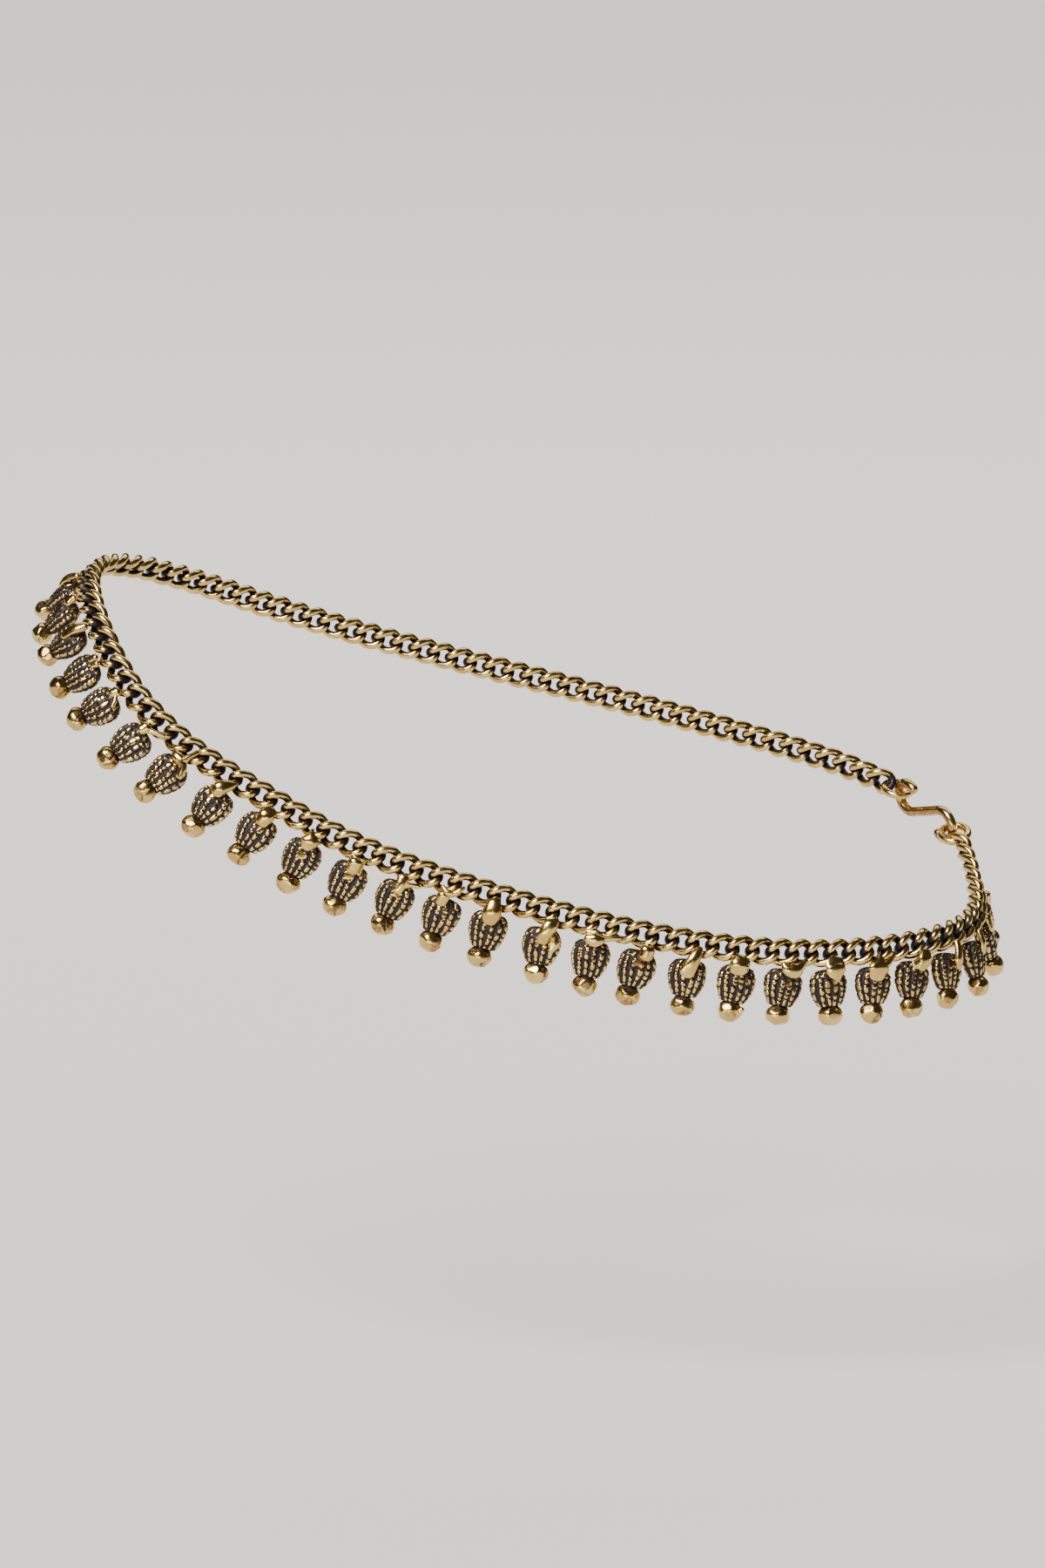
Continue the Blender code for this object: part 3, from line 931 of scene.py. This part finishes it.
def field_mask(chance, gain, start):
    """Where a new slow field is high: a smooth step of the field times the gain, less the start."""
    return softened(gain * slow_field(chance) - start)


# %% Lift of the granules, pits and worn spot
# Where a slow field with this gain and start is high, a lift goes this share of the way to the filled one.
FILLING = 0.55
FILLED_LIFT = 0.75
FILLED_FIELD = (1.8, 1.2)

# Pits reach down to this share of the height, over a soft span. Their lift is the rim less a share of the
# granules' lift.
SHOULDER_END = 0.24
SHOULDER_SPAN = 0.08
PIT_FIELD = (2.5, 0.6)
PIT_RIM = 0.9
PIT_SHARE = 0.8

# The worn spot's place, in radians beside the middle of the face and in shares of the height, each with
# its spread. Then its half sizes, its least and most strength, its lift, how far its edge bends, where
# the edge lies in half sizes, and how steep it is.
SPOT_TURN = (0, 0.15)
SPOT_DOWN = (0.36, 0.04)
SPOT_HALF_TURN = 0.42
SPOT_HALF_HEIGHT = 0.17
SPOT_STRENGTHS = (0.5, 1.0)
SPOT_LIFT = 0.7
SPOT_BEND = 0.7
SPOT_EDGE = 1.1
SPOT_STEEPNESS = 1.6

# The groove round the spot: its distance from the spot's middle in half sizes, its width and its depth.
RIM_AWAY = 1.15
RIM_WIDTH = 0.16
RIM_DEPTH = 0.35


def granule_lift(chance):
    """Lift of each grid place, from 0 in a groove to 1 on a granule, and how far the worn spot covers it.

    Where the slow field is high, the grooves fill up, as in a casting whose balls ran together. At the
    shoulders pits take the granules' place: there the lift is turned upside down. The worn spot is an
    ellipse on the face, bent by another slow field, with a groove round it.
    """
    lift = granule_columns(chance)
    lift = lift + (FILLED_LIFT - lift) * FILLING * field_mask(chance, *FILLED_FIELD)
    shoulder = softened((SHOULDER_END - body_down[:, None]) / SHOULDER_SPAN) * field_mask(chance, *PIT_FIELD)
    lift = lift * (1 - shoulder) + (PIT_RIM - PIT_SHARE * lift) * shoulder
    beside_face = (body_turns + 1.5 * math.pi) % (2 * math.pi) - math.pi
    turn_place = chance.normal(*SPOT_TURN)
    down_place = chance.normal(*SPOT_DOWN)
    away = np.hypot((beside_face[None, :] - turn_place) / SPOT_HALF_TURN,
                    (body_down[:, None] - down_place) / SPOT_HALF_HEIGHT)
    away = away + SPOT_BEND * (slow_field(chance) - 0.5)
    spot = chance.uniform(*SPOT_STRENGTHS) * softened(SPOT_STEEPNESS * (SPOT_EDGE - away))
    groove = np.exp(-((away - RIM_AWAY) / RIM_WIDTH) ** 2)
    return lift * (1 - spot) + SPOT_LIFT * spot - RIM_DEPTH * groove * lift, spot


# %% The body as a shell
# The relief fades over this share of the height at both ends, and at a slim place this share of it is left.
FADE_SPAN = 0.06
SLIM_RELIEF = 0.45

# Metal is bare from this lift on, over this span. Dirt and the worn spot take some of the shine away.
BARE_LIFT = 0.42
BARE_LIFT_SPAN = 0.4
DIRTY_SHINE = 0.75
DIRT_RANGE = 0.3
SPOT_DULLING = 0.15


def body_shell(chance):
    """The barrel's grid, lifted along the level normal of its ellipse, and closed at both ends."""
    share = barrel_share(body_down)[:, None]
    lift, spot = granule_lift(chance)
    ends = softened(np.minimum(body_down, 1 - body_down)[:, None] / FADE_SPAN)
    height = RELIEF * lift * ends * (SLIM_RELIEF + (1 - SLIM_RELIEF) * share)
    wide = (BODY_WIDTH / 2 - RELIEF) * share
    deep = (BODY_DEPTH / 2 - RELIEF) * share
    normal = unit(np.stack([np.cos(body_turns) / BODY_WIDTH, np.sin(body_turns) / BODY_DEPTH], axis=-1))
    x = wide * np.cos(body_turns) + height * normal[:, 0]
    y = deep * np.sin(body_turns) + height * normal[:, 1]
    z = -(CAP_HEIGHT + BODY_HEIGHT * body_down)[:, None] + 0 * x
    dirt = DIRTY_SHINE + DIRT_RANGE * slow_field(chance)
    wear_and_shade = softened((lift - BARE_LIFT) / BARE_LIFT_SPAN) * ends * dirt * (1 - SPOT_DULLING * spot)
    return ring_shell(np.stack([x, y, z], axis=-1), wear_and_shade)


first_body = body_shell(np.random.default_rng(1))
print("one body: quads", len(first_body[1]), "volume in cubic mm:", round(shell_volume(first_body), 1))

# %% [markdown]
# ## The bead
#
# Under the body sits a plain bead. It was filed and rubbed by hand, so it isn't a true ball but has two
# dozen small flats, and many beads show a dark seam where the mould's halves met. A ball primitive would
# look like a computer's. Here planes in chance directions cut a ball of directions, softly, so that each
# flat mirrors its own patch of the room.

# %% Bead
BEAD_ROUND = 52
BEAD_DOWN = 32
BEAD_FLATS = 24
FLAT_SHARPNESS = 50
BEAD_OVERLAP = 0.4 * MM

# Least and most of what chance sets: a flat's distance from the middle and what it lacks of the shine.
FLAT_DISTANCES = (0.86, 0.97)
FLAT_DULLINGS = (0, 0.42)

# No plane cuts a place whose cosine is under this one, where it would be beside or behind the middle.
LEAST_COSINE = 0.05

# The seam: the spread of its slant, the least and most of its distance from the middle, its width and
# depth as shares of the bead, and what it takes off the shine.
SEAM_SLANT = 0.3
SEAM_PLACES = (0.4, 0.6)
SEAM_WIDTH = 0.07
SEAM_DEPTH = 0.05
SEAM_DULLING = 0.5

# The bead's shine, and how it goes down at the neck from this height on, over this span.
BEAD_SHINE = 0.95
NECK_FROM = 0.5
NECK_SPAN = 0.4
NECK_DULLING = 0.9


def bead_shell(chance):
    """A ball of directions, times three half sizes, cut by soft planes and one seam.

    A plane cuts the ball at its depth over the cosine between its direction and the place's. The sum of
    these cuts to the power of minus the sharpness, with the ball's own 1 added, gives the size back as a
    root. The seam is a thin dip across one side direction. Each flat was rubbed by its own amount.
    """
    tilt = np.linspace(0, math.pi, BEAD_DOWN + 2)[1:-1, None]
    turn = np.linspace(0, 2 * math.pi, BEAD_ROUND, endpoint=False)[None, :]
    x = np.sin(tilt) * np.cos(turn)
    y = np.sin(tilt) * np.sin(turn)
    ball = np.stack([x, y, np.cos(tilt) + 0 * turn], axis=-1)
    flats = unit(chance.normal(0, 1, (BEAD_FLATS, 3)))
    depths = chance.uniform(*FLAT_DISTANCES, BEAD_FLATS)
    cuts = np.clip(ball @ flats.T, LEAST_COSINE, None) / depths
    size = (1 + (cuts ** FLAT_SHARPNESS).sum(axis=-1)) ** (-1 / FLAT_SHARPNESS)
    across = unit(np.array([1.0, chance.normal(0, SEAM_SLANT), chance.normal(0, SEAM_SLANT)]))
    strength = chance.uniform(0, 1)
    seam_place = chance.uniform(*SEAM_PLACES)
    seam = strength * np.exp(-((ball @ across - seam_place) / SEAM_WIDTH) ** 2)
    half = np.array([BEAD_WIDTH, BEAD_DEPTH, BEAD_HEIGHT]) / 2
    rings = ball * half * (size - SEAM_DEPTH * seam)[..., None]
    rings[..., 2] -= CAP_HEIGHT + BODY_HEIGHT + BEAD_HEIGHT / 2 - BEAD_OVERLAP
    dulling = chance.uniform(*FLAT_DULLINGS, BEAD_FLATS)[cuts.argmax(axis=-1)]
    neck = softened((ball[..., 2] - NECK_FROM) / NECK_SPAN)
    return ring_shell(rings, BEAD_SHINE - dulling - NECK_DULLING * neck - SEAM_DULLING * seam)


first_bead = bead_shell(np.random.default_rng(1))
print("one bead: volume in cubic mm:", round(shell_volume(first_bead), 2))

# %% [markdown]
# ## The solder cap
#
# Each drop hangs from the lower limbs of two or three links by a blob of solder, and no two blobs are
# alike: balls, straps, saddles with horns, a wishbone, a shield. One could sculpt each of them. Here every
# cap is one to three strands. A strand is a line through a few points with a width and a thickness at
# each, smoothed and closed with round ends, and the chart has one row of strands for each drop. Two of the
# beads carry a lump of their own, and their rows have a strand for it.
#
# Each point holds x, y and z in millimetres, then half the width and half the thickness. X runs along the
# chain, -Y faces out of the skin, and Z is zero just under the lower limbs.

# %% Chart of cap strands
BALL = [(0.0, -0.75, -0.5, 0.6, 0.5), (0.0, -0.8, 0.3, 0.6, 0.5)]
BLOCK = [(0.0, -0.85, -0.8, 0.7, 0.45), (0.0, -0.85, 0.5, 0.65, 0.45)]
STRAP = [(0.0, -1.1, -1.5, 0.55, 0.3), (0.1, -1.15, -0.5, 0.62, 0.42), (0.4, -0.8, 0.8, 0.42, 0.35)]

CAP_CHART = [
    # 1 and 2: a strap, a ball
    [STRAP],
    [BALL],
    # 3: a long tongue
    [[(0.0, -1.15, -2.0, 0.4, 0.25), (0.0, -1.2, -1.1, 0.6, 0.35), (0.05, -1.05, -0.2, 0.6, 0.45),
      (0.1, -0.8, 0.7, 0.45, 0.4)]],
    # 4: two small blobs side by side
    [[(-0.5, -0.8, -0.4, 0.4, 0.35), (-0.45, -0.8, 0.2, 0.4, 0.35)],
     [(0.45, -0.8, -0.4, 0.38, 0.35), (0.5, -0.8, 0.2, 0.4, 0.35)]],
    # 5: a small ball with a thin arm to the lower right
    [[(-0.3, -0.8, -0.2, 0.5, 0.42), (-0.3, -0.85, 0.3, 0.55, 0.45)],
     [(0.0, -0.8, 0.1, 0.25, 0.25), (0.6, -0.85, -0.2, 0.2, 0.2), (1.1, -0.8, -0.7, 0.2, 0.2)]],
    # 6: a ball with a tail to the upper right
    [[(-0.2, -0.85, -0.35, 0.6, 0.5), (-0.2, -0.9, 0.3, 0.65, 0.55)],
     [(0.1, -0.8, 0.3, 0.3, 0.28), (0.9, -0.75, 0.8, 0.26, 0.25), (1.7, -0.6, 1.4, 0.25, 0.25)]],
    # 7: a wishbone, with a neck upwards and a leg down the right side, and a disc on the bead's face
    [[(-1.6, -0.6, 0.35, 0.2, 0.2), (-0.7, -0.85, 0.0, 0.5, 0.4), (0.1, -0.95, 0.1, 0.6, 0.45),
      (0.3, -0.9, 1.0, 0.3, 0.3), (0.4, -0.75, 2.0, 0.24, 0.24)],
     [(0.0, -0.9, 0.0, 0.5, 0.4), (0.9, -0.9, -0.4, 0.4, 0.35), (1.45, -0.75, -1.3, 0.3, 0.28)],
     [(-0.1, -1.0, -5.25, 0.62, 0.26), (-0.1, -1.0, -4.8, 0.62, 0.26)]],
    # 8: a dome that leans to the right
    [[(-0.4, -0.9, -0.8, 0.65, 0.4), (-0.35, -1.05, -0.1, 0.85, 0.55), (0.1, -0.9, 0.7, 0.5, 0.4),
      (0.6, -0.7, 1.4, 0.22, 0.22)]],
    # 9: a tall ball
    [[(0.0, -0.75, -0.85, 0.75, 0.55), (0.0, -0.85, 0.0, 0.88, 0.6), (0.0, -0.7, 0.7, 0.7, 0.5)]],
    # 10: a heart with a prong to the right
    [[(0.0, -0.8, -0.6, 0.7, 0.5), (0.05, -0.9, 0.1, 0.95, 0.6), (-0.15, -0.75, 0.9, 0.4, 0.35),
      (-0.25, -0.6, 1.3, 0.15, 0.2)],
     [(0.6, -0.75, 0.2, 0.4, 0.35), (1.3, -0.6, 0.4, 0.22, 0.2)]],
    # 11: a block under a crown, with a post down the right side
    [[(0.0, -0.85, -0.7, 0.7, 0.45), (0.0, -0.9, 0.2, 0.78, 0.5)],
     [(-0.75, -0.7, 0.85, 0.2, 0.2), (-0.1, -0.8, 0.6, 0.25, 0.25), (0.7, -0.7, 0.85, 0.2, 0.2)],
     [(0.75, -0.7, 0.8, 0.2, 0.2), (0.85, -0.8, -0.8, 0.22, 0.2)]],
    # 12: a neck with an arm to the right
    [[(0.0, -0.85, -0.9, 0.6, 0.4), (0.05, -0.85, -0.1, 0.55, 0.4), (0.0, -0.7, 0.5, 0.6, 0.35)],
     [(0.3, -0.8, -0.3, 0.35, 0.3), (1.0, -0.75, 0.1, 0.28, 0.26), (1.9, -0.6, 0.4, 0.25, 0.25)]],
    # 13: a neck, and a crescent that curls up at both ends
    [[(-0.3, -0.75, -0.7, 0.55, 0.4), (-0.4, -0.85, 0.2, 0.6, 0.45)],
     [(-0.85, -0.75, 1.0, 0.25, 0.25), (-0.2, -0.95, 0.65, 0.36, 0.3), (0.5, -0.95, 0.75, 0.38, 0.3),
      (1.1, -0.85, 1.3, 0.3, 0.28), (1.35, -0.7, 1.75, 0.2, 0.2)]],
    # 14: a tall block
    [[(0.0, -0.85, -0.9, 0.85, 0.5), (0.0, -1.0, 0.0, 0.95, 0.6), (0.0, -0.9, 0.9, 0.85, 0.5),
      (0.1, -0.7, 1.4, 0.5, 0.4)]],
    # 15: a slanting strap, and a smooth patch down the right side
    [[(0.0, -1.1, -1.4, 0.6, 0.3), (0.2, -1.2, -0.5, 0.7, 0.45), (0.6, -1.1, 0.3, 0.68, 0.5),
      (1.0, -0.8, 1.0, 0.45, 0.4)],
     [(1.1, -0.75, -0.8, 0.5, 0.3), (1.25, -0.8, -1.6, 0.6, 0.35), (1.15, -0.8, -2.3, 0.4, 0.3)]],
    # 16: a wide saddle with an arm to the right and a crown
    [[(-0.75, -0.85, 0.05, 0.55, 0.45), (0.0, -1.0, 0.0, 0.72, 0.5), (0.8, -0.9, 0.1, 0.5, 0.45)],
     [(0.8, -0.85, 0.3, 0.32, 0.3), (1.7, -0.75, 0.5, 0.28, 0.26), (2.6, -0.6, 0.75, 0.28, 0.26)],
     [(-0.9, -0.7, 0.6, 0.2, 0.2), (0.1, -0.8, 0.85, 0.25, 0.25)]],
    # 17: a ball on the right shoulder
    [[(0.5, -0.95, -0.5, 0.75, 0.6), (0.55, -1.0, 0.2, 0.8, 0.65)]],
    # 18: a strap that narrows to the upper right
    [[(-0.25, -1.15, -1.5, 0.72, 0.3), (0.1, -1.2, -0.6, 0.72, 0.45), (0.45, -1.1, 0.3, 0.6, 0.45),
      (0.85, -0.8, 1.3, 0.35, 0.35)]],
    # 19: a thick barrel, and a nub at the bead's right side
    [[(-0.2, -0.9, -0.5, 1.0, 0.5), (-0.2, -1.05, 0.0, 1.1, 0.65), (-0.1, -0.95, 0.5, 0.95, 0.55)],
     [(1.05, -0.55, -4.95, 0.32, 0.32), (1.1, -0.55, -4.65, 0.32, 0.32)]],
    # 20: a crescent with a horn to the upper right
    [[(-0.55, -0.8, 0.45, 0.3, 0.3), (0.0, -1.0, -0.05, 0.7, 0.5), (0.8, -1.0, -0.05, 0.8, 0.5),
      (1.5, -0.85, 0.6, 0.45, 0.4), (1.9, -0.7, 1.3, 0.25, 0.25)]],
    # 21: a shield that points down
    [[(0.75, -1.0, -1.3, 0.35, 0.25), (0.65, -1.1, -0.5, 0.85, 0.4), (0.6, -1.0, 0.2, 1.1, 0.45),
      (0.6, -0.85, 0.6, 1.05, 0.35)]],
    # 22: a peak between two arms
    [[(0.0, -0.9, -1.0, 0.9, 0.35), (0.05, -1.05, -0.2, 1.1, 0.5), (0.2, -0.95, 0.7, 0.55, 0.45),
      (0.25, -0.75, 1.5, 0.18, 0.2)],
     [(-0.9, -0.7, 0.3, 0.2, 0.2), (-0.3, -0.95, -0.1, 0.4, 0.35), (0.9, -0.95, 0.2, 0.4, 0.35),
      (1.7, -0.8, 0.8, 0.28, 0.26), (2.1, -0.65, 1.5, 0.2, 0.2)]],
    # 23: a flap with a neck to its left
    [[(0.5, -0.9, -0.8, 0.6, 0.4), (0.8, -1.05, 0.1, 0.8, 0.5), (1.0, -0.9, 0.9, 0.6, 0.4)],
     [(-0.3, -0.8, -0.6, 0.5, 0.35), (0.3, -0.9, 0.0, 0.5, 0.4)]],
    # 24: a strap down the right side
    [[(1.0, -0.7, -1.8, 0.35, 0.3), (0.95, -0.95, -0.8, 0.45, 0.4), (0.9, -0.95, 0.3, 0.42, 0.4),
      (1.0, -0.7, 1.2, 0.3, 0.3)]],
    # 25: a shorter strap down the right side
    [[(0.8, -0.8, -1.6, 0.35, 0.3), (0.8, -0.95, -0.4, 0.42, 0.38), (0.8, -0.7, 0.9, 0.3, 0.3)]],
    # 26 and 27: a block, a ball
    [BLOCK],
    [BALL],
]
STRAND_STEPS = 30
STRAND_SIDES = 20
print("cap strands in the chart:", sum(len(strands) for strands in CAP_CHART))


# %% Strands of a cap
def smooth_rows(rows, steps):
    """Rows on a Catmull-Rom curve: each span's ends have slopes of half the way between their neighbours.

    The steps crowd towards both ends by a cosine, where the strand's round ends need them.
    """
    rows = np.array(rows, dtype=float)
    padded = np.vstack([2 * rows[0] - rows[1], rows, 2 * rows[-1] - rows[-2]])
    value = (1 - np.cos(np.linspace(0, math.pi, steps))) / 2 * (len(rows) - 1)
    span = np.clip(np.floor(value).astype(int), 0, len(rows) - 2)
    share = (value - span)[:, None]
    before, first, last, after = (padded[span + k] for k in range(4))
    leave = (last - before) / 2
    arrive = (after - first) / 2
    return hermite(first, last, leave, arrive, share)


END_REACH = 0.75
CAP_FULLNESS = 1.1
CAP_FORWARD = 0.12 * MM

# Spread of the chart's own values, then the torch's bumps as a share of the width, their length along the
# strand for each radian, and the latest phase at which they start.
CHART_SPREAD = 0.03
BUMP_SHARE = 0.05
BUMP_LENGTH = 0.35 * MM
LATEST_PHASE = 6

# The rubbed value at a strand's sides, and what its front gains and its back loses.
CAP_SHINE = 0.66
CAP_SHINE_GAIN = 0.4


def with_ends(rows):
    """The rows with one more at each end, past the last point by a share of its half width."""
    start, end = rows[0].copy(), rows[-1].copy()
    start[:3] += unit(rows[0, :3] - rows[1, :3]) * rows[0, 3] * END_REACH
    end[:3] += unit(rows[-1, :3] - rows[-2, :3]) * rows[-1, 3] * END_REACH
    return np.vstack([start, rows, end])


def cap_strand(rows, chance):
    """One strand as a shell: smoothed rows, round ends, and a few slow bumps from the torch.

    Each end rounds off along the stretch that was added past the chart's last point.
    """
    rows = np.array(rows, dtype=float) + chance.normal(0, CHART_SPREAD, (len(rows), 5))
    line = smooth_rows(with_ends(rows) * MM, STRAND_STEPS)
    line[:, 1] -= CAP_FORWARD
    line[:, 3] *= CAP_FULLNESS
    start_radius, end_radius = END_REACH * line[[0, -1], 3]
    distance = distances_along(line)
    ends = eased_radius(distance, distance[-1], start_radius, end_radius)
    bumps = 1 + BUMP_SHARE * np.sin(distance / BUMP_LENGTH + chance.uniform(0, LATEST_PHASE))
    rings = strand_rings(line[:, :3], line[:, 3] * ends * bumps, line[:, 4] * ends, STRAND_SIDES)
    front = (line[:, None, 1] - rings[..., 1]) / line[:, None, 4]
    return ring_shell(rings, CAP_SHINE + CAP_SHINE_GAIN * front)


# %% [markdown]
# ## Twenty-seven drops
#
# The drops stand evenly along the chain, a little more than two links apart, and each hangs with its own
# small swing. Each one is a piece of its own, made of its body, bead and cap, and it takes the place of
# its CAD solid. Its chance numbers come from its own seed, so no two are alike and every run is the same.

# %% Drops
FIRST_DROP = 8.4 * MM
DROP_PITCH = 5.2 * MM
SEAT_GAP = 0.15 * MM
DROP_SHIFTS = [0, 0, 0.2, 0.2, 0, 0, -0.3, 0, 0.1, 0.2, 0.4, 0.5, 0.4, 0.3,
               0.9, 1.1, 1.1, 1.1, 1.3, 1.1, 0.5, 0.8, 0.5, 0.1, -0.1, -0.3, -0.4]
DROP_SWINGS = [6, -6, 8, 6, 12, 12, 14, 10, 6, 0, 4, 6, 4, 0, -4, -2, 6, 0, 6, 6, -6, 6, 12, 14, 12, 8, 8]
DROP_SEED = 40


def swing_matrix(angle):
    """Turn about local Y by the angle, which swings the drop in the plane of the skin."""
    cosine = math.cos(angle)
    sine = math.sin(angle)
    return np.array([[cosine, 0, sine], [0, 1, 0], [-sine, 0, cosine]])


def hang_drop(number, shift, swing, strands):
    """One drop: its shells joined, swung, moved below the limbs and set in the skin frame of its place."""
    chance = np.random.default_rng(DROP_SEED + number)
    shells = [body_shell(chance), bead_shell(chance)]
    shells += [cap_strand(rows, chance) for rows in strands]
    points, quads, triangles, wear_and_shade = join_shells(shells)
    points = points @ swing_matrix(math.radians(swing)).T
    points[:, 2] -= CHAIN_HEIGHT / 2 + SEAT_GAP
    axes, places = route_frames(np.array([ROUTE_START + FIRST_DROP + number * DROP_PITCH + shift * MM]))
    shell = placed(points, axes, places)[0], quads, triangles, wear_and_shade
    name = f"{number + 1:02d}"
    return put_piece("cast_drop_" + name, shell, cast_gold, "drop_gold", "drop_" + name)


drops = [hang_drop(number, *row) for number, row in enumerate(zip(DROP_SHIFTS, DROP_SWINGS, CAP_CHART))]
print("drops:", len(drops), "faces each:", [len(drop.data.polygons) for drop in drops[:3]])

# %% [markdown]
# ## Floor, light and surroundings
#
# The anklet keeps its worn shape in the air over a plain pale floor. Metal shows little but what it
# mirrors. A dome of even light would make it flat and grey, so the surroundings stay dark. One wide sun
# from the upper left front gives each link its broad line of light, and a low strip in front the second.
# A panel above and behind keeps the upper edges from going black.

# %% Floor
FLOOR_HEIGHT = -70 * MM
FLOOR_HALF = 6.0
PAPER_TONES = ((0.80, 0.79, 0.77, 1), (0.83, 0.82, 0.80, 1))
PAPER_ROUGHNESS = 0.85


def make_floor():
    """Four corners of one square, with a matt pale paper finish and faint clouds in it."""
    sides = [(-1, -1), (1, -1), (1, 1), (-1, 1)]
    corners = [(x * FLOOR_HALF, y * FLOOR_HALF, FLOOR_HEIGHT) for x, y in sides]
    mesh = bpy.data.meshes.new("floor")
    mesh.from_pydata(corners, [], [(0, 1, 2, 3)])
    floor = add_object("floor", mesh)
    paper = bpy.data.materials.new("pale_paper")
    paper.use_nodes = True
    tree = paper.node_tree
    shader = tree.nodes["Principled BSDF"]
    shader.inputs["Roughness"].default_value = PAPER_ROUGHNESS
    places = add_node(tree, "ShaderNodeTexCoord")
    clouds = add_node(tree, "ShaderNodeTexNoise", Scale=3.0, Detail=2.0)
    tones = add_node(tree, "ShaderNodeMix", {"data_type": "RGBA"})
    tones.inputs["A"].default_value, tones.inputs["B"].default_value = PAPER_TONES
    tree.links.new(places.outputs["Object"], clouds.inputs["Vector"])
    tree.links.new(clouds.outputs["Fac"], tones.inputs["Factor"])
    tree.links.new(tones.outputs["Result"], shader.inputs["Base Color"])
    mesh.materials.append(paper)


make_floor()
print("floor height in mm:", round(FLOOR_HEIGHT / MM))


# %% Lights
def soft_panel(name, place, width, height, power, color):
    """A rectangular area light that faces the middle of the anklet."""
    data = bpy.data.lights.new(name, "AREA")
    data.shape = "RECTANGLE"
    data.size = width
    data.size_y = height
    data.energy = power
    data.color = color
    panel = add_object(name, data)
    panel.location = place
    panel.rotation_euler = (-Vector(place)).to_track_quat("-Z", "Y").to_euler()


soft_panel("low_strip", place=(-0.25, -0.95, 0.0), width=0.8, height=0.16, power=3.0, color=(1.0, 0.96, 0.88))
soft_panel("upper_panel", place=(0.1, 0.55, 0.75), width=1.2, height=0.5, power=4.5, color=(1.0, 0.97, 0.92))

sun_data = bpy.data.lights.new("wide_sun", "SUN")
sun_data.energy = 6.0
sun_data.angle = math.radians(30)
sun_data.color = (1.0, 0.97, 0.91)
sun = add_object("wide_sun", sun_data)
sun.rotation_euler = Vector((-0.5, -0.75, 1.0)).to_track_quat("Z", "Y").to_euler()

world = bpy.data.worlds.new("studio")
world.use_nodes = True
dark_room = world.node_tree.nodes["Background"].inputs
dark_room["Color"].default_value = (1.0, 0.97, 0.93, 1)
dark_room["Strength"].default_value = 0.05
bpy.context.scene.world = world
print("lights:", [light.name for light in bpy.data.lights])
